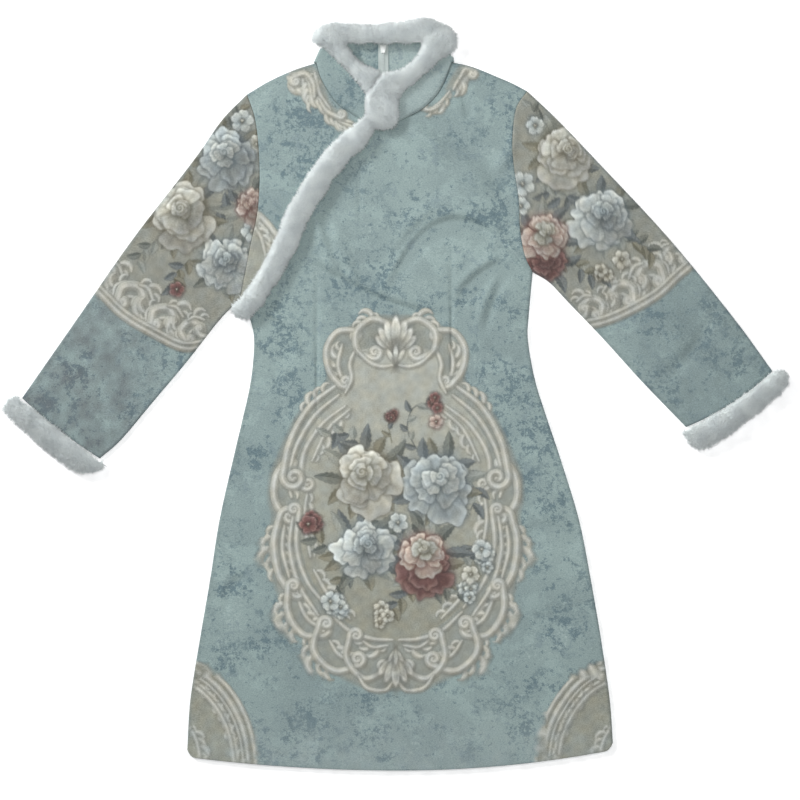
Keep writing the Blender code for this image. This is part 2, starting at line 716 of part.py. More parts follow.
def zip_tape(material):
    centre = CURVES["centre_back"]
    top = Vector((centre[0].x, COLLAR_BACK_TOP))
    line = even_points([top] + centre, ZIP_STEP)
    kept = [p for p in line if p.y > top.y - ZIP_LENGTH]
    half = Vector((ZIP_TAPE_WIDTH / 2, 0.0))
    outline = joined([p + half for p in kept[::-1]], [p - half for p in kept])

    def seat(point):
        return CLOTH + SEAM

    def thick(point):
        return ZIP_TAPE_THICK

    layer("zip_tape", outline, seat, thick, material, ZIP_STEP)


def zip_slider(material):
    bpy.ops.mesh.primitive_cube_add(size=1.0)
    slider = bpy.context.object
    slider.name = "zip_slider"
    slider.data.name = "zip_slider"
    wide, long, thick = SLIDER_SIZE
    for vert in slider.data.vertices:
        vert.co.x *= wide * MM
        vert.co.y *= long * MM
        vert.co.z *= thick * MM
    seat = CLOTH + SEAM + ZIP_TAPE_THICK + SEAM
    slider.location = (NECK_BACK[2].x * MM, SLIDER_HEIGHT * MM, (seat + thick / 2) * MM)
    bevel = slider.modifiers.new("rounded", "BEVEL")
    bevel.width = SLIDER_BEVEL * MM
    bevel.segments = 2
    slider.data.materials.append(material)
    for owner in list(slider.users_collection):
        owner.objects.unlink(slider)
    collection.objects.link(slider)


def new_material(name):
    colour, roughness = COLOURS[name]
    material = bpy.data.materials.new(name)
    material.use_nodes = True
    shader = material.node_tree.nodes["Principled BSDF"]
    shader.inputs["Base Color"].default_value = (*colour, 1.0)
    shader.inputs["Roughness"].default_value = roughness
    shader.inputs["Metallic"].default_value = 0.0
    return material


clear_scene()
collection = bpy.data.collections.new("cheongsam_dress")
bpy.context.scene.collection.children.link(collection)
for panel in (front_panel, front_underlap):
    panel(new_material("teal_jacquard"))
for half in ("left", "right"):
    back_panel(half, new_material("teal_jacquard"))
    sleeve(half, new_material("teal_jacquard"))
    collar(half, new_material("teal_jacquard"))
    fur_collar(half, new_material("white_fur"))
    fur_cuff(half, new_material("white_fur"))
fur_front(new_material("white_fur"))
zip_tape(new_material("zip_tape"))
zip_slider(new_material("zip_slider"))
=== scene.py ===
import math

import bmesh
import bpy
import numpy as np
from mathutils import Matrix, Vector, geometry


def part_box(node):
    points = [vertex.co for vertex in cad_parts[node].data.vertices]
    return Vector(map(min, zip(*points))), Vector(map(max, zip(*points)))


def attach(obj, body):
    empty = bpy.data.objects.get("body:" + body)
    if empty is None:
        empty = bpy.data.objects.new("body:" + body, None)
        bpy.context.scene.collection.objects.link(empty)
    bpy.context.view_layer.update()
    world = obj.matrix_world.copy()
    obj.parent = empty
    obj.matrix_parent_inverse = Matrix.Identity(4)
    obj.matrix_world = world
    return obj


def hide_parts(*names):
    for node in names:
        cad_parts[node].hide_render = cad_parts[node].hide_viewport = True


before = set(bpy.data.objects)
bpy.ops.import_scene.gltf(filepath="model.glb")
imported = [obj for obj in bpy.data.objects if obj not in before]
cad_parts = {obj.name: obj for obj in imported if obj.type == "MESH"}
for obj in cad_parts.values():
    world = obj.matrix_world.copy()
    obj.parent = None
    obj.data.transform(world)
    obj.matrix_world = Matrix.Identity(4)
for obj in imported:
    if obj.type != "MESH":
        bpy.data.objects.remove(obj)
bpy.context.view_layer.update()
print("frame loaded,", len(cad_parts), "nodes")

mm = 0.001  # tables below are in millimetres, meshes are in metres


def placed(name, data):
    made = bpy.data.objects.new(name, data)
    bpy.context.scene.collection.objects.link(made)
    return made


# The garment's own sizes, as its maker would change them
garment = {
    "cloth": 1.6,
    "seam": 0.3,
    "shownSeam": 0.05,  # sewn pieces meet in the picture, and their solids keep the seam above
    "loft": 2.2,
    "loftReach": 11.0,
    "edgeCurl": 1.0,
    "curlReach": 9.0,
    "foldGap": 1.2,
    "seamLevel": 2.75,  # height at which front and back meet along a folded edge
    "noseReach": 3.2,  # a folded edge is rounded over this width
    "seamDip": 0.75,  # cloth dips beside a seam
    "seamReach": 2.4,
    "outlineStep": 4.0,
    "figureLift": 0.22,  # woven figures stand this far proud
    "foldDepth": 1.6,  # the shown cloth folds deeper than its solid, by this share
    "creaseDepth": 4.2,  # what the rises of the crease table are multiplied by
    "creaseZone": 13,  # mesh is finer within this distance of a crease
    "troughFloor": 0.35,  # least room between the layers under a trough
    "noseLift": 0.45,  # the front's rounded edge starts this far above the seam level
    "underDrop": 0.35,  # its under face stays at least this far below its top
    "rimRings": (0.5, 1.3, 2.6, 5.0),  # rings of points inside a piece's rim
    "lowRing": 3.0,  # the same for its under face
    "backNose": 0.15,  # the back's edge ends this far below the seam level
    "backEdge": 0.3,  # how thin the back runs out there
}

# Body width by height: y, left, right
bodyRows = [(-452, -266, 275), (-387, -262, 271), (-311, -250, 260), (-235, -237, 247), (-159, -225, 232),
            (-83, -208, 209), (-32, -196, 192), (19, -185, 176), (70, -181, 167), (100, -187, 168)]
hemLeft, hemRight = bodyRows[0][1:]
underarmLeft, underarmRight, slantFoot = (-199, 121), (173, 156), (-191, 107)
shoulderLeft = [(-190, 382), (-161, 399), (-130, 413), (-102, 422)]
shoulderRight = [(70, 423), (96, 417), (126, 405), (147, 396), (166, 386)]
armholeLeft = [(-190, 382), (-180, 352), (-175, 312), (-174, 269), (-177, 230), (-186, 188), underarmLeft]
armholeRight = [(166, 386), (152, 364), (147, 324), (149, 290), (155, 250), (157, 210), (163, 177),
                underarmRight]
neckLeft = [(-102, 422), (-95, 400), (-77, 372), (-58, 358), (-36, 345), (-17, 335)]
neckRight = [(-17, 335), (6, 349), (32, 363), (51, 381), (62, 401), (70, 423)]
neckBack = [(-102, 422), (-62, 408), (-17, 402), (32, 408), (70, 423)]
slantEdge = [slantFoot, (-171, 138), (-148, 175), (-127, 224), (-102, 267), (-75, 303), (-47, 328),
             (-17, 335)]
sleeveTopLeft = [(-190, 382), (-222, 349), (-258, 298), (-336, 197), (-407, 95), (-476, -4)]
sleeveUnderLeft = [(-199, 121), (-225, 95), (-265, 44), (-307, -6), (-350, -57), (-377, -81)]
sleeveTopRight = [(166, 386), (203, 351), (250, 302), (346, 199), (429, 97), (478, 30)]
sleeveUnderRight = [(173, 156), (194, 143), (218, 118), (264, 70), (312, 17), (368, -41)]
hem = {"middle": (4.0, -477.0), "sagLeft": 17.0, "sagRight": 26.0, "corner": 9.0}
collarTopLeft = [(-94, 442), (-73, 423), (-50, 397), (-38, 378)]
collarTopRight = [(69, 432), (55, 425), (31, 402), (8, 385), (2, 366)]


# Lines and areas in plan

def lengthAlong(line):
    return np.concatenate([[0.0], np.cumsum(np.hypot(*np.diff(line, axis=0).T))])


def units(vectors):
    return vectors / np.maximum(np.hypot(*vectors.T), 1e-9)[:, None]


def heading(angle):
    return np.array([math.cos(angle), math.sin(angle)])


def leftOf(ahead):
    return np.array([-ahead[1], ahead[0]])


def closedLine(outline):
    return np.vstack([outline, outline[:1]])


def evenLine(line, step):
    line = np.asarray(line, float)
    along = lengthAlong(line)
    wanted = np.linspace(0, along[-1], max(1, round(along[-1] / step)) + 1)
    return np.stack([np.interp(wanted, along, line[:, k]) for k in (0, 1)], 1)


def smoothLine(places, step=garment["outlineStep"]):
    knots = np.array(places, float)
    knots = np.vstack([2 * knots[0] - knots[1], knots, 2 * knots[-1] - knots[-2]])
    t = np.linspace(0, 1, 24, endpoint=False)[:, None]
    dense = [0.5 * (2 * b + (c - a) * t + (2 * a - 5 * b + 4 * c - d) * t ** 2
                    + (3 * b - a - 3 * c + d) * t ** 3)
             for a, b, c, d in zip(knots, knots[1:], knots[2:], knots[3:])]
    return evenLine(np.vstack(dense + [knots[-2:-1]]), step)


def atShare(line, share):
    along = lengthAlong(line)
    wanted = np.asarray(share) * along[-1]
    return np.stack([np.interp(wanted, along, line[:, k]) for k in (0, 1)], -1)


def aside(line, amount):
    ahead = units(np.gradient(line, axis=0))
    return line + np.stack([ahead[:, 1], -ahead[:, 0]], 1) * amount


def hemLine():
    middle, low = hem["middle"]
    x = np.linspace(hemLeft, hemRight, 241)
    sag = np.where(x < middle, hem["sagLeft"], hem["sagRight"])
    half = np.where(x < middle, middle - hemLeft, hemRight - middle)
    corner = np.clip(1 - np.minimum(x - hemLeft, hemRight - x) / hem["corner"], 0, 1) ** 2 * hem["corner"]
    y = low + sag * ((x - middle) / half) ** 2 + corner
    return evenLine(np.stack([x, y], 1), garment["outlineStep"])


def joined(*lines):
    outline = np.vstack(lines)
    keep = np.hypot(*(outline - np.roll(outline, 1, axis=0)).T) > 1e-3
    outline = outline[keep]
    x, y = outline.T
    area = np.sum(x * np.roll(y, -1) - np.roll(x, -1) * y)
    return outline if area > 0 else outline[::-1]


def planArea(outline):
    x, y = outline.T
    return abs(np.sum(x * np.roll(y, -1) - np.roll(x, -1) * y)) / 2 * mm * mm


def inset(outline, amount):
    ahead = units(np.roll(outline, -1, axis=0) - outline)
    left = np.stack([-ahead[:, 1], ahead[:, 0]], 1)
    middle = units(left + np.roll(left, 1, axis=0))
    return outline + middle * (amount / np.maximum(0.35, np.sum(middle * left, 1)))[:, None]


def distanceTo(spots, line):
    best = np.full(len(spots), 1e9)
    for a, b in zip(line[:-1], line[1:]):
        ahead = b - a
        share = np.clip((spots - a) @ ahead / max(ahead @ ahead, 1e-9), 0, 1)
        offset = spots - a - share[:, None] * ahead
        best = np.minimum(best, offset[:, 0] ** 2 + offset[:, 1] ** 2)
    return np.sqrt(best)


def insideOf(spots, outline):
    hit = np.zeros(len(spots), bool)
    x, y = spots.T
    for a, b in zip(outline, np.roll(outline, -1, axis=0)):
        crosses = (a[1] > y) != (b[1] > y)
        if crosses.any():
            hit ^= crosses & (x < a[0] + (y - a[1]) * (b[0] - a[0]) / (b[1] - a[1] + 1e-12))
    return hit


def ease(low, high, value):
    t = np.clip((value - low) / (high - low), 0, 1)
    return t * t * (3 - 2 * t)


hemEdge = hemLine()
lines = {name: smoothLine(places) for name, places in {
    "sideLeft": [tuple(hemEdge[0])] + [(left, y) for y, left, right in bodyRows[1:]],
    "sideLeftTop": [slantFoot, underarmLeft],
    "sideRight": ([tuple(hemEdge[-1])] + [(right, y) for y, left, right in bodyRows[1:]]
                  + [underarmRight]),
    "armholeLeft": armholeLeft, "armholeRight": armholeRight, "neckBack": neckBack, "slant": slantEdge,
    "shoulderLeft": shoulderLeft, "shoulderRight": shoulderRight, "neckLeft": neckLeft,
    "neckRight": neckRight, "topLeft": sleeveTopLeft, "underLeft": sleeveUnderLeft,
    "topRight": sleeveTopRight, "underRight": sleeveUnderRight}.items()}
lines["hem"] = hemEdge
lines["centreBack"] = np.array([neckBack[2]] + [((a + b) / 2, y) for y, a, b in bodyRows[::-1]], float)
foldedEdges = [evenLine(lines[name], 12.0) for name in
               ("sideLeft", "sideLeftTop", "sideRight", "shoulderLeft", "shoulderRight",
                "topLeft", "topRight", "underLeft", "underRight")]

# Folds of the laid-out cloth: start, end, sideways bow, reach, rise (a trough is negative).
# The soft ones are in the solids too, and the creases only here.
softFolds = [
    (15, 336, 112, 262, 8, 17, 1.3), (34, 349, 140, 259, 10, 14, -1.2), (8, 206, 118, 231, 22, 12, 1.3),
    (10, 172, 108, 212, 24, 13, -1.5), (95, 198, 150, 180, 4, 12, -1.1), (145, 160, 84, 124, -6, 13, -1.2),
    (-92, 154, 30, 98, -6, 14, -1.5), (-98, 128, 20, 76, -6, 15, 1.2),
    (-83, 208, -68, 166, 3, 14, 1.3),
    (-178, 96, -136, 62, 8, 14, -1.2), (-205, -70, -160, -102, -3, 14, -1.2),
    (-119, -335, -117, -452, 4, 17, -1.2), (172, -176, 226, -186, 3, 15, -1.1),
    (178, -292, 246, -282, 4, 16, -1.1), (-258, 222, -196, 176, 8, 15, -1.1),
    (-330, 88, -262, 62, 6, 15, 1.3),
    (250, 190, 292, 128, -6, 15, -1.2), (318, 112, 366, 62, 5, 16, 1.3),
]
creases = [
    (4, 176, 150, 182, 50, 7, 0.85), (14, 168, 140, 172, 40, 7, -0.6), (72, 214, 158, 174, 5, 6, 0.7),
    (76, 204, 154, 165, 5, 5, -0.6), (-108, 254, -80, 160, -4, 7, 0.75), (-97, 248, -68, 158, -4, 7, -0.5),
    (-94, 170, 32, 114, -6, 8, 0.9), (127, 154, 104, 94, -2, 5, 0.5), (120, 172, 80, 140, -3, 6, 0.6),
    (16, 178, 100, 214, 18, 5, -0.8), (139, 152, 116, 92, -2, 4, -0.6), (128, 164, 88, 132, -3, 5, -0.5),
    (-90, 152, 26, 99, -5, 6, -0.9), (-84, 180, -52, 150, 3, 5, 0.6), (-181, 99, -136, 64, 7, 5, -0.8),
    (-178, 110, -128, 72, 7, 6, 0.8), (-184, 60, -150, 22, 5, 6, -0.5), (82, 395, 92, 356, 2, 6, -0.8),
    (20, 340, 60, 300, 3, 7, 0.6), (-204, -70, -163, -100, -3, 5, -0.6),
    (-218, -272, -199, -234, 5, 6, -0.7), (176, -172, 222, -184, 3, 7, -0.6),
    (-101, 136, -101, -8, 0, 2.0, -0.55), (70, 166, 70, 28, 0, 2.0, -0.55),  # the two darts
    (-47, 296, -47, 226, 0, 2.2, -0.3),
    (150, 330, 128, 286, 4, 7, 0.5), (120, 60, 165, 40, -3, 7, -0.6), (-40, 60, 30, 52, 6, 9, -0.5),
    (-240, 330, -214, 262, 5, 7, 0.7), (-232, 168, -206, 128, 4, 6, -0.7), (200, 352, 176, 300, -5, 7, 0.8),
    (192, 214, 236, 150, 4, 6, -0.7), (-420, 52, -372, -30, 5, 8, -0.6), (398, 90, 350, 30, 5, 8, -0.7),
]


def creaseLine(row):
    x0, y0, x1, y1, bow = row[:5]
    t = np.linspace(-0.2, 1.2, 12)[:, None]
    side = np.array([y0 - y1, x1 - x0]) / math.hypot(x1 - x0, y1 - y0)
    return np.array([x0, y0]) * (1 - t) + np.array([x1, y1]) * t + side * bow * 4 * t * (1 - t)


def nearCreases(spots):
    return np.min([distanceTo(spots, creaseLine(row)) for row in creases], axis=0) < garment["creaseZone"]


def foldRise(spots, folds):
    total = np.zeros(len(spots))
    for x0, y0, x1, y1, bow, reach, rise in folds:
        start, end = np.array([x0, y0], float), np.array([x1, y1], float)
        span = np.hypot(*(end - start))
        ahead = (end - start) / span
        side = leftOf(ahead)
        along = (spots - start) @ ahead / span
        off = (spots - start) @ side - bow * 4 * along * (1 - along)
        fade = ease(-0.3, 0.2, along) * (1 - ease(0.8, 1.3, along))
        total += rise * fade * np.exp(-(off / reach) ** 2)
    return total


def drift(spots):
    x, y = spots.T
    return (0.22 * np.sin(x / 41 + 1.3 * np.sin(y / 67)) * np.cos(y / 58 + 0.7)
            + 0.13 * np.sin(x / 19 + y / 31 + 2.0) * np.sin(y / 23 - x / 47))


def edgeDistance(spots):
    return np.min([distanceTo(spots, line) for line in foldedEdges], axis=0)


def backUnder(spots, distance):
    return garment["edgeCurl"] * (1 - ease(0, garment["curlReach"], distance))


def lofted(distance):
    # how far the cloth has risen from a folded edge, as a share
    return 1 - np.exp(-distance / garment["loftReach"])


def frontUnder(spots, distance):
    share = lofted(distance)
    lift = (garment["loft"] + foldRise(spots, softFolds)) * share
    low = backUnder(spots, distance) + garment["cloth"] + garment["seam"]
    return low + np.maximum(garment["foldGap"] * share, lift)


def troughFloor(spots, distance):
    layers = 2 * garment["cloth"] + garment["seam"]
    return backUnder(spots, distance) + layers + garment["troughFloor"] * lofted(distance)


def underFace(spots, seamLines):
    distance = edgeDistance(spots)
    return np.min([frontUnder(spots, distance), faceHeight(spots, seamLines) - garment["underDrop"],
                   troughFloor(spots, distance) - garment["seam"]], axis=0)


def rounded(distance, reach):
    return np.sqrt(np.clip(1 - (1 - np.clip(distance / reach, 0, 1)) ** 2, 0, 1))


def frontTop(spots, distance):
    flat = frontUnder(spots, distance) + garment["cloth"]
    share = lofted(distance)
    finer = garment["foldDepth"] * foldRise(spots, softFolds)
    finer = finer + garment["creaseDepth"] * foldRise(spots, creases)
    lowest = troughFloor(spots, distance)  # eased into, so that no trough sinks through the layer below
    spare = flat + (finer + drift(spots)) * share - lowest
    return lowest + 0.5 * (spare + np.sqrt(spare ** 2 + 0.25 * share ** 2))


def faceHeight(spots, seamLines):
    distance = edgeDistance(spots)
    top = frontTop(spots, distance)
    nose = garment["seamLevel"] + garment["noseLift"]
    top = nose + (top - nose) * rounded(distance, garment["noseReach"])
    if seamLines:
        beside = np.min([distanceTo(spots, line) for line in seamLines], axis=0)
        top -= garment["seamDip"] * (1 - rounded(beside, garment["seamReach"]))
    return top


# Painting the woven figures: every point of a cloth carries its ink and how far it covers the ground

def ink(red, green, blue):
    return np.array([red, green, blue], float) / 255


def palette(**tones):
    return {name: ink(*tone) for name, tone in tones.items()}


carving = {"crest": ink(200, 200, 192), "body": ink(181, 182, 172), "hollow": ink(141, 142, 133),
           "outline": ink(118, 119, 111), "bed": ink(145, 149, 141), "wide": 1.50}
field = {"top": ink(168, 170, 160), "bottom": ink(148, 149, 136), "highest": 20.0, "lowest": -290.0,
         "sleeve": ink(148, 150, 140)}
whitePetals = palette(deep=(134, 133, 117), body=(194, 194, 181), rim=(212, 212, 203), shade=(98, 97, 84))
creamPetals = palette(deep=(126, 123, 106), body=(189, 188, 175), rim=(208, 208, 197), shade=(92, 89, 77))
bluePetals = palette(deep=(106, 117, 118), body=(164, 173, 172), rim=(194, 202, 200), shade=(76, 84, 87))
palePetals = palette(deep=(126, 135, 133), body=(184, 191, 187), rim=(206, 211, 206), shade=(88, 97, 98))
coralPetals = palette(deep=(130, 98, 90), body=(183, 165, 153), rim=(205, 195, 184), shade=(96, 72, 66))
winePetals = palette(deep=(84, 56, 55), body=(122, 89, 85), rim=(158, 128, 121), shade=(68, 52, 50))
leafTones = [(ink(82, 87, 82), ink(122, 126, 118)), (ink(98, 97, 82), ink(138, 136, 120)),
             (ink(80, 86, 86), ink(118, 124, 123)), (ink(120, 125, 118), ink(155, 158, 149))]


def wobble(spots, size, seed=0.0):
    # soft unevenness from about -1 to 1, with features of the given size
    x, y = (spots / size).T
    one = np.sin(1.7 * x + 0.9 * y + seed + 1.3 * np.sin(0.7 * y - 0.4 * x + seed))
    two = np.sin(1.9 * y - 1.1 * x + 2.3 * seed + 1.1 * np.sin(1.3 * x + 0.5 * y))
    return 0.5 * (one + two)


class Painting:
    def __init__(self, spots):
        self.spots = spots
        self.ink = np.tile(field["top"], (len(spots), 1))
        self.cover = np.zeros(len(spots))
        self.relief = np.zeros(len(spots))

    def near(self, low, high):
        x, y = self.spots.T
        return np.nonzero((x > low[0]) & (x < high[0]) & (y > low[1]) & (y < high[1]))[0]

    def lay(self, index, amount, colour, lift=0.0):
        before = self.cover[index] * (1 - amount)
        cover = before + amount
        colour = np.broadcast_to(colour, (len(index), 3))
        mixed = self.ink[index] * before[:, None] + colour * amount[:, None]
        self.ink[index] = mixed / np.maximum(cover, 1e-6)[:, None]
        self.cover[index] = cover
        self.relief[index] = self.relief[index] * (1 - amount) + lift * amount

    def fill(self, outline, colour, soft=1.5, amount=1.0, lift=0.0):
        index = self.near(outline.min(0) - soft, outline.max(0) + soft)
        if len(index):
            spots = self.spots[index]
            away = distanceTo(spots, closedLine(outline))
            signed = np.where(insideOf(spots, outline), away, -away)
            if callable(colour):
                colour = colour(spots)
            self.lay(index, ease(-soft, soft, signed) * amount, colour, lift)

    def stroke(self, line, width, colour, light=None, amount=1.0, soft=0.8, shift=(0, 0), lift=0.6):
        line = np.asarray(line, float) + np.array(shift)
        width = np.broadcast_to(np.asarray(width, float), (len(line),))
        reach = width.max() + soft + 1
        index = self.near(line.min(0) - reach, line.max(0) + reach)
        if not len(index):
            return
        spots = self.spots[index]
        best = np.full(len(spots), 1e9)
        wide = np.ones(len(spots))
        facing = np.zeros(len(spots))
        for a, b, wa, wb in zip(line[:-1], line[1:], width[:-1], width[1:]):
            ahead = b - a
            share = np.clip((spots - a) @ ahead / max(ahead @ ahead, 1e-9), 0, 1)
            offset = spots - a - share[:, None] * ahead
            far = np.hypot(*offset.T)
            here = wa + (wb - wa) * share
            better = far - here < best
            best = np.where(better, far - here, best)
            wide = np.where(better, here, wide)
            facing = np.where(better, (offset @ np.array([-0.55, 0.83])) / np.maximum(here, 0.3), facing)
        cover = (1 - ease(-soft, soft, best)) * amount
        if light is not None:
            tone = np.clip(0.5 + 0.6 * facing, 0, 1)[:, None]
            colour = colour + (light - colour) * tone
        self.lay(index, cover, colour, lift * np.clip(-best / np.maximum(wide, 0.5), 0, 1))

    def petal(self, base, angle, length, width, tones, ruffle=0.05, notch=0.12, seed=0.0, depth=1.0,
              tone=1.0):
        ahead = heading(angle)
        side = leftOf(ahead)
        centre = np.asarray(base, float) + ahead * length / 2
        reach = max(length, width) * 0.8 + 3
        index = self.near(centre - reach, centre + reach)
        if not len(index):
            return
        offset = self.spots[index] - centre
        u, v = offset @ ahead / (length / 2), offset @ side / (width / 2)
        v = v / (0.58 + 0.42 * ease(-1.0, 0.5, u))
        turn = np.arctan2(v, u)
        waves = (np.sin(2 * turn + seed) + 0.8 * np.sin(4 * turn + 1.7 * seed)
                 + 0.5 * np.sin(7 * turn + 2.9 * seed))
        edge = 1 + ruffle * (0.35 + 0.65 * np.cos(turn / 2)) * waves
        edge -= notch * np.exp(-((turn - 0.25 * math.sin(seed)) / 0.26) ** 2)
        size = min(length, width) / 2
        cast = np.hypot(u - 0.9 * (ahead[0] * 0.5 - ahead[1] * 0.8) / size, v) / edge
        self.lay(index, (1 - ease(0.88, 1.0 + 4.6 / size, cast)) * 0.52 * depth, tones["shade"], 0.1)
        radius = np.hypot(u, v) / edge
        along = np.clip((u + 1) / 2, 0, 1)
        colour = tones["deep"] + (tones["body"] - tones["deep"]) * ease(-0.05, 0.6, along)[:, None]
        rim = ease(0.5, 0.92, radius) * ease(0.3, 0.85, along)
        colour = colour + (tones["rim"] - colour) * rim[:, None]
        fan = np.arctan2(v, u + 1.3)
        grain = 0.026 * np.sin(fan * 17 + seed) + 0.022 * np.sin(fan * 31 + 2 * seed)
        lit = np.clip(offset @ np.array([-0.5, 0.8]) / size, -1, 1)
        brush = 0.06 * wobble(self.spots[index], size * 0.45 + 2, seed)
        colour = colour * (tone * (1 + grain * ease(0.1, 0.5, along) + 0.08 * lit + brush))[:, None]
        self.lay(index, 1 - ease(1 - 1.1 / size, 1 + 0.9 / size, radius), colour, 0.35 + 0.5 * along)

    def leaf(self, base, angle, length, width, tones, bend=0.15):
        ahead = heading(angle)
        side = leftOf(ahead)
        base = np.asarray(base, float)
        centre = base + ahead * length / 2
        reach = length * 0.65 + 3
        index = self.near(centre - reach, centre + reach)
        if not len(index):
            return
        offset = self.spots[index] - base
        u = offset @ ahead / length
        v = offset @ side - bend * length * 2 * u * (1 - u)
        half = width / 2 * np.clip(np.sin(np.pi * np.clip(u, 0, 1) ** 0.75), 0, 1) ** 0.9
        half = half * (1 + 0.10 * np.sin(u * 34)) + 0.01
        out = np.abs(v) - half
        ends = ease(-0.03, 0.02, u) * (1 - ease(0.98, 1.03, u))
        dark, pale = tones
        self.lay(index, (1 - ease(-0.4, 1.6, out)) * ends * 0.6, dark * 0.8, 0.1)
        tone = np.where(v > 0, 0.8, 0.1) + 0.3 * u + 0.14 * np.sin(u * 30 + np.abs(v) * 1.2)
        colour = dark + (pale - dark) * np.clip(tone, 0, 1)[:, None]
        rib = 1 - ease(0.35, 1.0, np.abs(v))
        colour = colour + (pale * 1.04 - colour) * (rib * 0.6)[:, None]
        self.lay(index, (1 - ease(-0.7, 0.7, out)) * ends, colour, 0.35)

    def darken(self, where, amount, colour):
        index = np.nonzero(where > 0.01)[0]
        cloud = 0.7 + 0.3 * wobble(self.spots[index], 16.0, 1.0) + 0.2 * wobble(self.spots[index], 6.0, 3.0)
        self.lay(index, np.clip(where[index] * amount * cloud, 0, 1), colour)

    def age(self):
        # an old, slightly uneven print
        wear = 1 + 0.030 * wobble(self.spots, 4.1, 0.4) + 0.035 * wobble(self.spots, 11.0, 2.0)
        tint = 0.014 * wobble(self.spots, 7.3, 4.0)
        self.ink *= wear[:, None] * (1 + tint[:, None] * np.array([1.0, 0.2, -1.0]))


def arc(places, pieces=26):
    long = sum(math.dist(a, b) for a, b in zip(places, places[1:]))
    return smoothLine(places, max(1.5, long / pieces))


def spiral(centre, radius, start, turns, hand, steps=30, close=0.12):
    t = np.linspace(0, 1, steps)
    reach = radius * (1 - (1 - close) * t ** 0.9)
    angle = start + hand * 2 * math.pi * turns * t
    return np.stack([centre[0] + reach * np.cos(angle), centre[1] + reach * np.sin(angle)], 1)


def circle(centre, radius, steps):
    return spiral(centre, radius, 0, 1, 1, steps, 1.0)


def carved(paint, line, width, tone=1.0):
    # one carved-looking ridge: outline, hollow, lit body, then a fine bright crest
    width = np.broadcast_to(np.asarray(width, float), (len(line),)) * carving["wide"]
    paint.stroke(line, width + 1.4, carving["outline"] * tone, amount=0.5, soft=1.5, shift=(0.7, -0.9),
                 lift=0.1)
    paint.stroke(line, width + 0.4, carving["hollow"] * tone, amount=0.8, lift=0.4)
    paint.stroke(line, width, carving["hollow"] * tone, carving["body"] * 1.06 * tone, lift=0.8)
    paint.stroke(line, width * 0.36, carving["crest"] * tone, amount=0.85, shift=(-0.3, 0.4), lift=1.0)


def swelling(count, wide):
    t = np.linspace(0, 1, count)
    return wide * (0.42 + 0.58 * np.sin(np.pi * t) ** 0.55)


def scroll(paint, places, wide, curlStart=0.0, curlEnd=0.0, turns=1.4):
    # a ridge whose ends may roll up into volutes; a curl above 0 rolls to the left of the line's way
    line = arc(places)
    parts = [line]
    for end, curl in ((-1, curlEnd), (0, curlStart)):
        if curl:
            ahead = line[-1] - line[-2] if end else line[1] - line[0]
            ahead = ahead / np.hypot(*ahead)
            centre = line[end] + leftOf(ahead) * curl
            start = math.atan2(line[end][1] - centre[1], line[end][0] - centre[0])
            hand = math.copysign(1, curl) * (1 if end else -1)
            roll = spiral(centre, abs(curl), start, turns, hand)
            paint.fill(circle(centre, abs(curl) + 0.5, 16), carving["bed"] * 0.97, 1.0, 0.7)
            parts = parts + [roll[1:]] if end else [roll[:0:-1]] + parts
    line = np.vstack(parts)
    carved(paint, line, swelling(len(line), wide))
    for end, curl in ((-1, curlEnd), (0, curlStart)):
        if curl:
            eye = line[end]
            paint.stroke([eye, eye + (0.1, 0.1)], max(1.0, abs(curl) * 0.17), carving["hollow"],
                         carving["crest"])


def frond(paint, places, lobes, size, side, tone=1.0):
    # an acanthus spray: curled lobes along one side of a stem, then the stem over them
    line = arc(places)
    for k in range(lobes):
        share = (k + 0.3) / lobes
        here = atShare(line, share)
        ahead = atShare(line, min(1.0, share + 0.05)) - atShare(line, max(0.0, share - 0.02))
        ahead /= np.hypot(*ahead)
        out = leftOf(ahead) * side
        long = size * (0.62 + 0.5 * math.sin(math.pi * min(1.0, share * 1.1)))
        long *= 1 + 0.16 * math.sin(k * 2.6 + size)
        lobe = arc([here + long * (a * ahead + b * out)
                    for a, b in ((0, 0), (0.02, 0.34), (0.30, 0.66), (0.74, 0.76), (1.10, 0.56))], 9)
        t = np.linspace(0, 1, len(lobe))
        width = long * (0.06 + 0.20 * np.sin(np.pi * t ** 0.85))
        paint.stroke(lobe, width + 1.0, carving["outline"] * tone, amount=0.45, soft=1.4, shift=(0.6, -0.8),
                     lift=0.1)
        paint.stroke(lobe, width, carving["hollow"] * tone, carving["body"] * 1.08 * tone, lift=0.7)
        paint.stroke(lobe[1:], width[1:] * 0.35, carving["crest"] * tone, amount=0.8, shift=(-0.4, 0.5),
                     lift=0.9)
    carved(paint, line, swelling(len(line), size * 0.13), tone)


bloomForms = {  # petals, root, length and width as shares of the radius, ruffle, notch
    "rose": [(5, 0.14, 0.92, 1.10, 0.09, 0.17), (5, 0.08, 0.74, 0.90, 0.09, 0.14),
             (3, 0.03, 0.56, 0.82, 0.07, 0.10), (3, -0.03, 0.38, 0.54, 0.05, 0.04),
             (2, -0.05, 0.25, 0.36, 0.03, 0.0)],
    "peony": [(6, 0.20, 0.88, 0.94, 0.13, 0.22), (5, 0.12, 0.70, 0.78, 0.12, 0.18),
              (4, 0.04, 0.50, 0.60, 0.10, 0.12), (3, -0.02, 0.32, 0.40, 0.08, 0.05)],
}


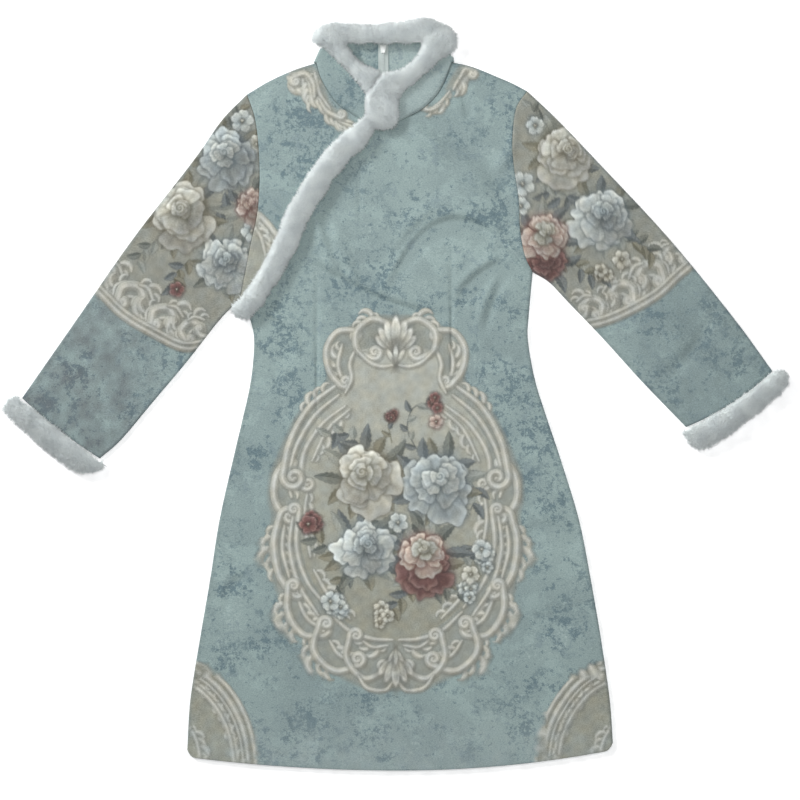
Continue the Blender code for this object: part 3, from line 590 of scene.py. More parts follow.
def bloom(paint, centre, radius, tones, seed=0, form="rose", heart=None):
    picker = np.random.default_rng(seed)
    centre = np.asarray(centre, float)
    rings = bloomForms[form]
    lean = radius * np.array([picker.uniform(-0.20, 0.20), picker.uniform(0.10, 0.24)])
    for reach, tone, soft, amount, lift in ((0.98, 1.35, 0.3, 0.5, 0.0), (0.80, 1.15, 0.12, 0.85, 0.1)):
        paint.fill(circle(centre, radius * reach, 30), tones["shade"] * tone, radius * soft, amount, lift)
    for number, (count, root, long, wide, ruffle, notch) in enumerate(rings):
        share = number / (len(rings) - 1)
        middle = centre + lean * share
        turn = picker.uniform(0, 6.28)
        here = heart if heart is not None and number >= 2 else tones
        for k in picker.permutation(count):
            angle = turn + 2 * math.pi * (k + picker.uniform(-0.34, 0.34)) / count
            size = radius * picker.uniform(0.80, 1.12) * (1 - 0.16 * math.sin(angle) * (1 - share))
            base = middle + radius * root * heading(angle)
            tone = 0.96 + 0.10 * math.cos(angle - 2.2) + picker.uniform(-0.10, 0.05) - 0.05 * share
            seedHere = picker.uniform(0, 6.28)
            paint.petal(base, angle, size * long, size * wide, here, ruffle, notch, seedHere, 1.0, tone)
    middle = centre + lean
    here = heart or tones
    paint.fill(circle(middle, radius * 0.13, 16), here["deep"], 1.5, 0.8, 0.3)
    curl = spiral(middle, radius * 0.15, picker.uniform(0, 6.28), 1.3, 1, 20, 0.1)
    paint.stroke(curl, radius * 0.016 + 0.4, here["rim"], amount=0.6, shift=(-0.4, 0.5), lift=0.8)


def blossom(paint, centre, radius, tones, seed=0):
    turn = np.random.default_rng(seed).uniform(0, 6.28)
    for k in range(5):
        angle = turn + 2 * math.pi * k / 5
        paint.petal(centre, angle, radius, radius * 0.9, tones, 0.05, 0.14, k + seed, 0.8)
    heart = np.asarray(centre) - (0, radius * 0.12)
    paint.petal(heart, 1.57, radius * 0.24, radius * 0.24, creamPetals, 0, 0)


def leafRing(paint, centre, radius, count, size, seed):
    # leaves that show from under a flower, all round it
    picker = np.random.default_rng(seed)
    turn = picker.uniform(0, 6.28)
    for k in range(count):
        angle = turn + 2 * math.pi * (k + picker.uniform(-0.3, 0.3)) / count
        base = np.asarray(centre, float) + radius * 0.72 * heading(angle)
        paint.leaf(base, angle + picker.uniform(-0.5, 0.5), size * picker.uniform(0.75, 1.2), size * 0.42,
                   leafTones[picker.integers(4)], picker.uniform(-0.25, 0.25))


def spray(paint, places, leaves, size, tone=0, seed=0, buds=None):
    # a thin stem with leaves on alternate sides, and buds at its end
    picker = np.random.default_rng(seed)
    line = arc(places)
    paint.stroke(line, 0.7, leafTones[tone][0], amount=0.8)
    for k in range(leaves):
        share = (k + 0.8) / (leaves + 0.4)
        here, ahead = atShare(line, share), atShare(line, min(1, share + 0.05)) - atShare(line, share)
        angle = math.atan2(ahead[1], ahead[0]) + (-1) ** k * picker.uniform(0.6, 1.0)
        paint.leaf(here, angle, size * picker.uniform(0.8, 1.15), size * 0.46, leafTones[(tone + k % 2) % 4])
    if buds:
        for k in range(4):
            spot = line[-1] + picker.uniform(-size * 0.5, size * 0.5, 2)
            blossom(paint, spot, size * picker.uniform(0.32, 0.5), buds, seed + k)


# The great cartouche on the skirt: half widths by height, then one side's carving, which is mirrored
cartouche = {
    "centreX": -1.0, "pullFrom": 112.0, "pull": 0.72,
    "field": [(60, 20), (56, 46), (36, 54), (10, 60), (-14, 84), (-52, 112), (-96, 124), (-150, 126),
              (-196, 122), (-240, 104), (-276, 76), (-300, 44), (-312, 12)],
    "bed": [(98, 30), (80, 64), (54, 86), (24, 84), (0, 94), (-24, 124), (-58, 149), (-84, 164), (-104, 175),
            (-134, 177), (-154, 171), (-190, 178), (-228, 170), (-256, 159), (-290, 138), (-308, 112),
            (-336, 101), (-354, 72), (-372, 34)],
    "reach": [(124, 30), (114, 66), (86, 92), (48, 102), (20, 106), (2, 112), (-24, 136), (-66, 160),
              (-110, 176), (-160, 178), (-206, 176), (-250, 162), (-296, 132), (-338, 100), (-366, 56),
              (-378, 10)],
    "scrolls": [  # line, width, curls at its start and end
        ([(150, -84), (168, -104), (170, -132), (154, -154)], 3.0, -7, -8),
        ([(72, 0), (103, -27), (131, -65), (145, -100)], 2.0, 0, 0),
        ([(64, -14), (94, -38), (118, -74), (124, -112)], 2.2, 0, -9),
        ([(76, 12), (110, -16), (142, -58), (156, -102)], 2.8, 0, -15),
        ([(160, -152), (171, -188), (162, -228), (138, -254)], 3.0, -12, -8),
        ([(137, -150), (143, -196), (126, -242), (98, -280)], 2.0, 0, 0),
        ([(126, -146), (131, -192), (113, -236), (86, -270)], 2.2, 7, 0),
        ([(146, -242), (146, -276), (120, -304), (92, -306)], 2.8, -7, -9),
        ([(84, -276), (58, -300), (28, -310), (4, -311)], 2.0, 0, 0),
        ([(96, -288), (104, -324), (78, -350), (46, -344)], 2.8, -8, -9),
        ([(58, -304), (62, -336), (40, -360), (14, -352)], 2.5, -8, -8),
        ([(48, -356), (36, -372), (14, -375), (3, -364)], 1.8, 0, 0),
        ([(52, 82), (74, 80), (88, 58), (84, 30), (70, 12)], 2.6, -7, -8),
        ([(50, 60), (58, 40), (56, 20), (64, 2)], 1.8, 0, 0),
        ([(8, 90), (30, 96), (50, 80), (48, 56), (30, 46)], 2.6, -5, -9),
        ([(2, 38), (18, 36), (34, 42), (50, 58)], 1.8, 0, 0),
    ],
    "fronds": [  # line, lobes, size, side
        ([(168, -164), (175, -196), (165, -230)], 5, 16, 1),
        ([(150, -250), (148, -280), (127, -304)], 5, 17, 1),
        ([(110, -304), (103, -332), (80, -352)], 5, 16, 1),
        ([(122, -24), (102, -7), (84, 7)], 4, 13, -1),
        ([(112, -122), (117, -160), (108, -206)], 7, 13, -1),
        ([(104, -222), (84, -256), (58, -284)], 6, 14, -1),
        ([(58, -18), (86, -44), (106, -84)], 6, 12, -1),
        ([(150, -70), (150, -100), (140, -130)], 5, 15, -1),
        ([(152, -164), (156, -196), (144, -232)], 6, 14, -1),
        ([(132, -252), (112, -284), (86, -300)], 5, 14, -1),
        ([(66, 14), (73, 38), (68, 64)], 5, 14, -1),
        ([(10, -318), (30, -320), (46, -308)], 4, 12, -1),
        ([(20, 97), (34, 96), (46, 86)], 4, 12, 1),
        ([(84, -312), (72, -330), (54, -338)], 4, 13, -1),
    ],
}


def pulled(x):
    return min(x, cartouche["pullFrom"]) + max(0, x - cartouche["pullFrom"]) * cartouche["pull"]


def closedOval(rows):
    right = [(cartouche["centreX"] + pulled(half), y) for y, half in rows]
    left = [(cartouche["centreX"] - pulled(half), y) for y, half in rows[::-1]]
    return joined(smoothLine(right), smoothLine(left))


def fieldTone(spots):
    share = np.clip((spots[:, 1] - field["lowest"]) / (field["highest"] - field["lowest"]), 0, 1)
    return field["bottom"] + (field["top"] - field["bottom"]) * share[:, None]


def fan(paint, centre, angle, count, spread, size, tone=1.0):
    # a shell of narrow ribs, the middle one last
    tones = {"deep": carving["hollow"] * tone, "body": carving["body"] * tone, "rim": carving["crest"] * tone,
             "shade": carving["outline"] * 0.9}
    half = (count - 1) / 2
    for k in sorted(range(count), key=lambda k: -abs(k - half)):
        turn = angle + (k - half) * spread
        long = size * (1 - 0.10 * abs(k - half))
        paint.petal(centre, turn, long, size * 0.26, tones, 0, 0, k, 0.9)


def paintCartouche(paint):
    cx = cartouche["centreX"]
    bed = closedOval(cartouche["bed"])
    paint.fill(inset(bed, -4.0), carving["outline"] * 1.12, 2.2, 0.55)
    paint.fill(bed, carving["bed"], 1.5, 0.95)
    paint.fill(closedOval(cartouche["field"]), fieldTone, 1.5)
    for s in (-1, 1):
        for places, lobes, size, side in cartouche["fronds"]:
            frond(paint, [(cx + s * pulled(x), y) for x, y in places], lobes, size, side * s)
        for places, wide, curlStart, curlEnd in cartouche["scrolls"]:
            scroll(paint, [(cx + s * pulled(x), y) for x, y in places], wide, curlStart * s, curlEnd * s)
    fan(paint, (cx, 54), math.pi / 2, 7, 0.30, 46)
    fan(paint, (cx, 38), math.pi / 2, 3, 0.5, 24)
    fan(paint, (cx, -330), -math.pi / 2, 5, 0.36, 40)
    fan(paint, (cx, -322), -math.pi / 2, 3, 0.5, 20)


# Bouquets, painted in this order. Sprays: line, leaves, size, leaf tone, seed, buds. Leaf rings: place,
# radius, count, seed. Blossoms: place, size, petals, seed. Blooms: place, radius, petals, seed, form, heart.
skirtBouquet = {
    "sprays": [([(-44, -66), (-66, -48), (-88, -52)], 6, 21, 2, 11, None),
               ([(30, -76), (14, -44), (22, -16), (46, -10)], 7, 15, 2, 12, winePetals),
               ([(84, -96), (100, -124), (92, -152)], 6, 21, 2, 13, None),
               ([(-84, -196), (-104, -180), (-112, -160)], 6, 22, 0, 14, winePetals),
               ([(-60, -218), (-76, -244), (-80, -266)], 5, 20, 0, 15, palePetals),
               ([(74, -196), (96, -208), (112, -212)], 5, 20, 2, 16, palePetals),
               ([(20, -240), (0, -266), (-10, -282)], 6, 22, 1, 17, creamPetals),
               ([(52, -236), (70, -252), (90, -250)], 5, 19, 3, 18, palePetals),
               ([(-6, -60), (-10, -40), (-8, -28)], 3, 12, 1, 19, winePetals)],
    "leafSize": 32,
    "leafRings": [((-38, -102), 42, 12, 1), ((50, -110), 44, 12, 2), ((-42, -196), 38, 12, 3),
                  ((36, -206), 38, 12, 4), ((0, -150), 34, 9, 5)],
    "blossoms": [((-112, -164), 12, winePetals, 1), ((-84, -262), 13, palePetals, 2),
                 ((108, -196), 13, palePetals, 3), ((94, -228), 12, whitePetals, 4),
                 ((50, -34), 9, coralPetals, 5), ((2, -162), 13, palePetals, 6)],
    "blooms": [((-40, -196), 39, palePetals, 21, "peony", bluePetals),
               ((52, -112), 45, bluePetals, 23, "peony", palePetals),
               ((38, -218), 36, winePetals, 24, "peony", None),
               ((32, -200), 28, coralPetals, 28, "peony", whitePetals),
               ((-38, -102), 42, creamPetals, 25, "rose", whitePetals)],
}


def paintBouquet(paint, bouquet):
    for row in bouquet["sprays"]:
        spray(paint, *row)
    for centre, radius, count, seed in bouquet["leafRings"]:
        leafRing(paint, centre, radius, count, bouquet["leafSize"], seed)
    for row in bouquet["blossoms"]:
        blossom(paint, *row)
    for row in bouquet["blooms"]:
        bloom(paint, *row)


# the part of a cartouche that the hem cuts off at each side: how far in it reaches, by height
cornerEdges = {-1: [(-6, -364), (18, -378), (40, -404), (54, -438), (60, -484)],
               1: [(-6, -362), (24, -376), (46, -400), (63, -434), (70, -484)]}


def paintCorner(paint, s):
    x0 = hemLeft if s < 0 else hemRight
    outer = arc([(x0 - s * reach, y) for reach, y in cornerEdges[s]], 30)
    inner = aside(outer, 31.0 * s)
    away = [(x0 + s * 8, -488), (x0 + s * 8, -358)]
    paint.fill(joined(aside(outer, -3.0 * s), away), carving["outline"] * 1.1, 2.0, 0.5)
    paint.fill(joined(outer, away), carving["bed"], 1.5, 0.95)
    paint.fill(joined(inner, [(x0 + s * 8, -488), (x0 + s * 8, -400)]), field["bottom"], 1.5)
    frond(paint, aside(outer, 5.0 * s)[::3], 12, 9, s)
    for step, wide in ((1.5, 2.2), (7.0, 1.5), (20.0, 2.4), (29.0, 1.8)):
        scroll(paint, aside(outer, step * s)[::4], wide)
    frond(paint, aside(outer, 13.5 * s)[2::3], 9, 8, s)
    frond(paint, [(x0 - s * 2, -420), (x0 - s * 13, -442), (x0 - s * 18, -472)], 6, 12, -s)


def paintNeck(paint):
    # scraps of scrollwork that the neckline cuts through
    for places in ([(-140, 412), (-118, 422), (-96, 408), (-84, 372), (-60, 350), (-44, 340), (-62, 344),
                    (-84, 356), (-100, 372), (-112, 392), (-128, 398)],
                   [(96, 418), (84, 424), (70, 404), (62, 386), (76, 392), (88, 404)]):
        paint.fill(joined(smoothLine(places)), carving["bed"] * 0.98, 3.0, 0.85)
    for row in (([(-136, 410), (-122, 400), (-108, 404)], 5, 17, -1),
                ([(-122, 412), (-108, 392), (-104, 366)], 6, 14, -1),
                ([(-104, 410), (-98, 384), (-84, 362)], 7, 13, -1),
                ([(-92, 366), (-76, 352), (-56, 346)], 6, 12, -1),
                ([(-74, 348), (-60, 342), (-46, 338)], 4, 9, -1),
                ([(92, 412), (82, 404), (72, 388)], 6, 13, 1), ([(68, 386), (54, 370), (38, 360)], 5, 10, 1)):
        frond(paint, *row)
    for row in (([(-130, 404), (-116, 408), (-106, 396), (-104, 378)], 2.4, -6, 0),
                ([(-98, 376), (-88, 360), (-72, 352)], 2.0, 0, 5),
                ([(98, 412), (88, 414), (80, 402)], 2.2, 5, 0),
                ([(56, 368), (44, 362), (34, 364)], 1.6, 0, -4)):
        scroll(paint, *row)
    edge = arc([(-183, 236), (-166, 220), (-150, 198), (-143, 174)], 14)
    paint.fill(joined(edge, [(-160, 140), (-202, 108), (-205, 236)]), field["sleeve"], 1.4)
    for step, wide in ((0.0, 2.6), (7.0, 1.6), (16.0, 2.2)):
        carved(paint, aside(edge, step), wide)
    frond(paint, [(-184, 218), (-172, 200), (-166, 176)], 5, 11, 1)


def paintedEdgeShade(paint):
    # painted shade: the cloth is darkened along its folded edges, where it turns away from the light
    beside = np.min([distanceTo(paint.spots, line) for line in foldedEdges], axis=0)
    paint.darken(1 - ease(0, 5.5, beside), 0.42, ink(92, 104, 107))


def motif(paint, line, share, hand, size):
    # a C scroll with its leaves, standing on a line; hand is the side of the line that it grows to
    foot = atShare(line, share)
    ahead = atShare(line, min(1, share + 0.02)) - atShare(line, max(0, share - 0.02))
    ahead /= np.hypot(*ahead)
    up = leftOf(ahead) * hand

    def local(*places):
        return [foot + size * (u * ahead + v * up) for u, v in places]

    frond(paint, local((-17, 3), (-22, 14), (-17, 25)), 3, 11 * size, hand)
    frond(paint, local((-8, 5), (-4, 14), (4, 19)), 3, 11 * size, -hand)
    scroll(paint, local((-11, 4), (-15, 19), (-2, 29), (11, 22)), 3.3 * size, -5.5 * hand * size,
           -6.5 * hand * size)
    frond(paint, local((-4, 31), (6, 34), (18, 28)), 3, 11 * size, hand)
    scroll(paint, local((20, 4), (10, 8), (6, 16)), 2.4 * size, 4 * hand * size, -3.5 * hand * size)


def sleeveBorder(paint, s, places, ground):
    # the foot of a cartouche that crosses the sleeve above the elbow; places run out from the wrist side
    outer = arc(places, 50)
    away = [(s * 170, 90), (s * 130, 180), (s * 130, 400), (s * 250, 430), (s * 420, 240)]
    paint.fill(joined(aside(outer, 3.0 * -s), away), carving["outline"] * 1.1, 2.0, 0.5)
    paint.fill(joined(outer, away), carving["bed"], 1.5, 0.95)
    paint.fill(joined(aside(outer, 30.0 * s), away), ground, 7.0)
    base = aside(outer, 8.0 * s)
    for share, size in ((0.12, 1.05), (0.37, 1.2), (0.64, 1.1), (0.90, 0.95)):
        motif(paint, base, share, -s, size)
    for step, wide in ((1.5, 2.8), (8.0, 1.6)):
        carved(paint, aside(outer, step * s), wide)


sleevePrints = {
    "Left": {
        "wrist": (250, 370), "wristShadeShare": 0.60, "wristShadeTone": ink(97, 100, 104),
        "border": [(-404, 152), (-378, 128), (-348, 99), (-308, 75), (-271, 58), (-236, 62)],
        "sprays": [([(-262, 172), (-280, 154), (-282, 138)], 6, 20, 1, 31),
                   ([(-226, 214), (-208, 236), (-192, 262)], 7, 24, 2, 32),
                   ([(-224, 320), (-206, 346), (-196, 366)], 6, 18, 0, 33),
                   ([(-300, 200), (-322, 182), (-330, 166)], 5, 17, 3, 34)],
        "leafSize": 28,
        "leafRings": [((-216, 302), 38, 10, 6), ((-272, 232), 42, 10, 7), ((-216, 168), 34, 10, 8),
                      ((-186, 246), 22, 6, 9)],
        "blossoms": [((-196, 348), 15, palePetals, 7), ((-184, 208), 14, palePetals, 8),
                     ((-178, 318), 13, whitePetals, 9)],
        "blooms": [((-184, 240), 21, coralPetals, 37, "peony"),
                   ((-214, 302), 38, bluePetals, 36, "peony", palePetals),
                   ((-216, 168), 35, palePetals, 38, "peony", bluePetals),
                   ((-272, 230), 43, creamPetals, 35, "rose", whitePetals)],
        "lastBlossoms": [((-279, 134), 10, winePetals, 5)],
        "dim": 0.92,
    },
    "Right": {
        "wrist": (260, 350), "wristShadeShare": 0.36, "wristShadeTone": ink(114, 130, 132),
        "border": [(386, 172), (360, 150), (334, 126), (300, 106), (268, 92), (236, 84)],
        "sprays": [([(288, 196), (312, 190), (326, 178)], 6, 19, 0, 41),
                   ([(224, 168), (246, 152), (262, 150)], 6, 18, 1, 42, creamPetals),
                   ([(196, 338), (176, 356), (170, 372)], 5, 16, 3, 43),
                   ([(228, 256), (206, 250), (184, 262)], 6, 22, 2, 44)],
        "leafSize": 28,
        "leafRings": [((212, 306), 38, 10, 11), ((262, 228), 40, 10, 12), ((188, 200), 30, 9, 14),
                      ((190, 168), 26, 7, 15)],
        "blossoms": [((160, 268), 16, palePetals, 6), ((158, 240), 12, palePetals, 7),
                     ((286, 172), 12, creamPetals, 8), ((176, 342), 12, palePetals, 9)],
        "blooms": [((190, 172), 27, winePetals, 48, "peony"),
                   ((262, 226), 40, palePetals, 45, "peony", bluePetals),
                   ((212, 308), 39, whitePetals, 46, "rose", creamPetals),
                   ((186, 202), 30, coralPetals, 47, "peony", whitePetals)],
        "lastBlossoms": [],
        "dim": 0.94,
    },
}


def paintSleeve(paint, side):
    s, look = -1 if side == "Left" else 1, sleevePrints[side]
    # painted shade: the sleeve is darkened towards its wrist, more strongly on the left sleeve
    paint.darken(ease(*look["wrist"], s * paint.spots[:, 0]), look["wristShadeShare"], look["wristShadeTone"])
    sleeveBorder(paint, s, look["border"], field["sleeve"])
    paintBouquet(paint, look)
    for row in look["lastBlossoms"]:
        blossom(paint, *row)
    paint.ink *= look["dim"]  # the sleeves' print is a little darker than the skirt's
    paintedEdgeShade(paint)


# Cloth shells

def toLinear(colour):
    colour = np.clip(colour, 0, 1)
    return np.where(colour <= 0.04045, colour / 12.92, ((colour + 0.055) / 1.055) ** 2.4)


def staggered(low, high, step):
    rows = np.arange(low[1], high[1], step * math.sqrt(3) / 2)
    columns = np.arange(low[0], high[0], step)
    x, y = np.meshgrid(columns, rows)
    x = x + 0.5 * step * (np.arange(len(rows)) % 2)[:, None]
    return np.stack([x.ravel(), y.ravel()], 1)


def filledPlan(rim, rings, levels, clear):
    closed = closedLine(rim)
    inner = []
    for ring in rings:
        spots = inset(rim, ring)
        inner.append(spots[insideOf(spots, rim) & (distanceTo(spots, closed) > ring * 0.93)])
    for number, (step, zone) in enumerate(levels):
        spots = staggered(rim.min(0) + 0.31 * step, rim.max(0), step)
        spots = spots[zone(spots)]
        for finerLevel in levels[number + 1:]:
            spots = spots[~finerLevel[1](spots)]
        spots = spots[insideOf(spots, rim)]
        inner.append(spots[distanceTo(spots, closed) > clear + step * 0.35])
    spots = np.vstack([rim] + inner)
    corners = [Vector(p) for p in spots.tolist()]
    found = geometry.delaunay_2d_cdt(corners, [], [list(range(len(rim)))], 1, 1e-5)
    places = np.array([tuple(p) for p in found[0]])
    assert np.abs(places[:len(rim)] - rim).max() < 0.01, "the rim's points come first, in order"
    return places, found[2]


# where the ground's dark flecks gather: place, half width, half height, share
fleckClouds = [
    (22, 226, 26, 10, 0.9), (64, 236, 34, 10, 0.75), (112, 224, 30, 12, 1.0), (148, 204, 16, 18, 0.9),
    (-60, 140, 34, 26, 0.7), (-20, 158, 26, 30, 0.75), (-122, 356, 34, 26, 0.8), (-108, 300, 22, 30, 0.5),
    (-146, 74, 30, 26, 0.8), (-70, 168, 16, 26, 0.6), (146, 330, 10, 34, 0.9), (-60, 390, 20, 14, 0.7),
    (100, 120, 40, 22, 0.5), (-176, -76, 26, 16, 0.9), (-212, -248, 30, 9, 0.9), (214, -296, 30, 34, 0.7),
    (232, -400, 22, 40, 0.7), (-120, -410, 26, 18, 0.9), (150, 16, 18, 26, 0.6), (196, -130, 22, 34, 0.6),
    (-220, -330, 20, 40, 0.5), (20, -424, 60, 10, 0.4), (-404, 20, 30, 40, 0.9), (-330, -20, 30, 26, 0.8),
    (-440, -10, 20, 22, 0.9), (330, 96, 30, 30, 0.8), (400, 66, 26, 30, 0.7), (430, 40, 20, 20, 0.7),
]
fleckFloor = 3.2  # flecks gather on the front's upper face, above this height


def fleckShare(points):
    x, y, z = points.T
    share = np.zeros(len(points))
    for middleX, middleY, wide, high, amount in fleckClouds:
        cloud = amount * np.exp(-((x - middleX) / wide) ** 2 - ((y - middleY) / high) ** 2)
        share = np.maximum(share, cloud)
    return share * (z > fleckFloor)


def setInk(mesh, colours, cover):
    layer = mesh.color_attributes.new("ink", "FLOAT_COLOR", "POINT")
    values = np.concatenate([toLinear(colours), cover[:, None]], 1).astype(np.float32)
    layer.data.foreach_set("color", values.ravel())


def newPiece(name, points, faces, material, colours=None, cover=None):
    mesh = bpy.data.meshes.new(name)
    mesh.from_pydata((np.asarray(points) * mm).tolist(), [], faces)
    mesh.validate()
    if colours is None:
        colours, cover = np.tile(field["top"], (len(points), 1)), np.zeros(len(points))
    setInk(mesh, colours, cover)
    flecks = mesh.attributes.new("flecks", "FLOAT", "POINT")
    flecks.data.foreach_set("value", fleckShare(np.asarray(points)).astype(np.float32))
    mesh.materials.append(material)
    mesh.shade_smooth()
    return placed(name, mesh)


def shell(name, outline, levels, lowStep, topHeight, lowHeight, painter, material):
    # a closed shell; levels are mesh steps with their zones, coarse to fine
    rim = inset(outline, garment["shownSeam"] / 2)
    spots, faces = filledPlan(rim, garment["rimRings"], levels, garment["rimRings"][-1])
    paint = Painting(spots)
    if painter:
        painter(paint)
        paint.age()
    top = topHeight(spots) + paint.relief * garment["figureLift"]
    lowSpots, lowFaces = filledPlan(rim, (garment["lowRing"],), [(lowStep, everywhere)], garment["lowRing"])
    low = lowHeight(lowSpots)
    count = len(spots)
    points = np.vstack([np.column_stack([spots, top]), np.column_stack([lowSpots, low])])
    allFaces = [tuple(face) for face in faces] + [tuple(count + i for i in face[::-1]) for face in lowFaces]
    for i in range(len(rim)):
        j = (i + 1) % len(rim)
        allFaces.append((count + i, count + j, j, i))
    colours = np.vstack([paint.ink, np.tile(field["top"], (len(lowSpots), 1))])
    cover = np.concatenate([paint.cover, np.zeros(len(lowSpots))])
    return newPiece(name, points, allFaces, material, colours, cover)


def zoneOf(outline, margin):
    closed = closedLine(outline)

    def zone(spots):
        near = np.zeros(len(spots), bool)
        box = (spots > outline.min(0) - margin).all(1) & (spots < outline.max(0) + margin).all(1)
        picked = np.nonzero(box)[0]
        if len(picked):
            here = spots[picked]
            near[picked] = insideOf(here, outline) | (distanceTo(here, closed) < margin)
        return near

    return zone


def anyOf(*zones):
    return lambda spots: np.any([zone(spots) for zone in zones], axis=0)


def boxZone(x0, y0, x1, y1):
    return zoneOf(np.array([(x0, y0), (x1, y0), (x1, y1), (x0, y1)], float), 0.01)


def everywhere(spots):
    return np.ones(len(spots), bool)


def frontPanel(material):
    outline = joined(lines["hem"], lines["sideRight"], lines["armholeRight"][::-1],
                     lines["shoulderRight"][::-1], lines["neckRight"][::-1], lines["slant"][::-1],
                     lines["sideLeft"][::-1])
    seams = [lines["armholeRight"], lines["slant"], lines["neckRight"], lines["hem"]]
    medallion = closedOval(cartouche["reach"])
    corners = (boxZone(-280, -490, -180, -360), boxZone(190, -490, 290, -360))
    neck = boxZone(24, 340, 112, 426)
    levels = [(7.5, everywhere), (3.3, anyOf(zoneOf(medallion, 12), *corners, neck, nearCreases)),
              (1.50, zoneOf(medallion, 1)), (1.8, anyOf(*corners, neck))]

    def painter(paint):
        paintNeck(paint)
        paintCorner(paint, -1)
        paintCorner(paint, 1)
        paintCartouche(paint)
        paintBouquet(paint, skirtBouquet)
        # painted light: a paler teal is laid over the skirt towards the hem, where less light reaches
        paint.darken(1 - ease(-470, -370, paint.spots[:, 1]), 0.42, ink(156, 168, 168))
        paintedEdgeShade(paint)

    piece = shell("frontPanel", outline, levels, 34.0, lambda s: faceHeight(s, seams),
                  lambda s: underFace(s, seams), painter, material)
    return piece, outline


def frontUnderlap(material):
    outline = joined(lines["slant"], lines["neckLeft"][::-1], lines["shoulderLeft"][::-1],
                     lines["armholeLeft"], lines["sideLeftTop"][::-1])
    seams = [lines["armholeLeft"], lines["slant"], lines["neckLeft"]]
    printed = anyOf(boxZone(-140, 336, -30, 426), boxZone(-206, 160, -140, 240))

    def painter(paint):
        paintNeck(paint)
        paintedEdgeShade(paint)

    piece = shell("frontUnderlap", outline, [(6.0, everywhere), (1.7, printed)], 34.0,
                  lambda s: faceHeight(s, seams), lambda s: underFace(s, seams), painter, material)
    return piece, outline


def backPanel(side, material):
    centre, hemEdge, neck = lines["centreBack"], lines["hem"], lines["neckBack"]
    cut = int(np.argmin(np.abs(hemEdge[:, 0] - centre[-1, 0])))
    dip = int(np.argmin(np.abs(neck[:, 0] - centre[0, 0])))
    seamLine = evenLine(np.vstack([neck[dip], centre[1:], hemEdge[cut]]), garment["outlineStep"])
    if side == "Left":
        outline = joined(hemEdge[:cut + 1], seamLine[::-1], neck[:dip + 1][::-1], lines["shoulderLeft"][::-1],
                         lines["armholeLeft"], lines["sideLeftTop"][::-1], lines["sideLeft"][::-1])
    else:
        outline = joined(hemEdge[cut:], lines["sideRight"], lines["armholeRight"][::-1],
                         lines["shoulderRight"][::-1], neck[dip:][::-1], seamLine)
    nose = garment["seamLevel"] - garment["backNose"]

    def top(spots):
        return np.minimum(backUnder(spots, edgeDistance(spots)) + garment["cloth"], nose)

    def low(spots):
        distance = edgeDistance(spots)
        flat = backUnder(spots, distance)
        rise = rounded(distance, garment["noseReach"])
        return nose - garment["backEdge"] + (flat - nose + garment["backEdge"]) * rise

    return shell("back" + side, outline, [(30.0, everywhere)], 16.0, top, low, None, material), outline


sleeveShape = {
    "columns": 150, "lowColumns": 46, "printRows": 178, "plainRows": 34, "innerRows": 16,
    "gather": 0.44,  # how much closer the columns stand at both folded edges
    "printEnd": 0.66,  # the print ends at this share of the length, and rows stand wider apart from there
    "bowLeft": 3.0, "bowRight": 6.0,  # bow of the cuff's edge
    "tuck": 1.9, "wall": 1.2, "innerTop": 3.1,  # the inner face: in from the folds, wall, highest level
    "lift": 0.5,  # of the lower layer, beside the armhole
}


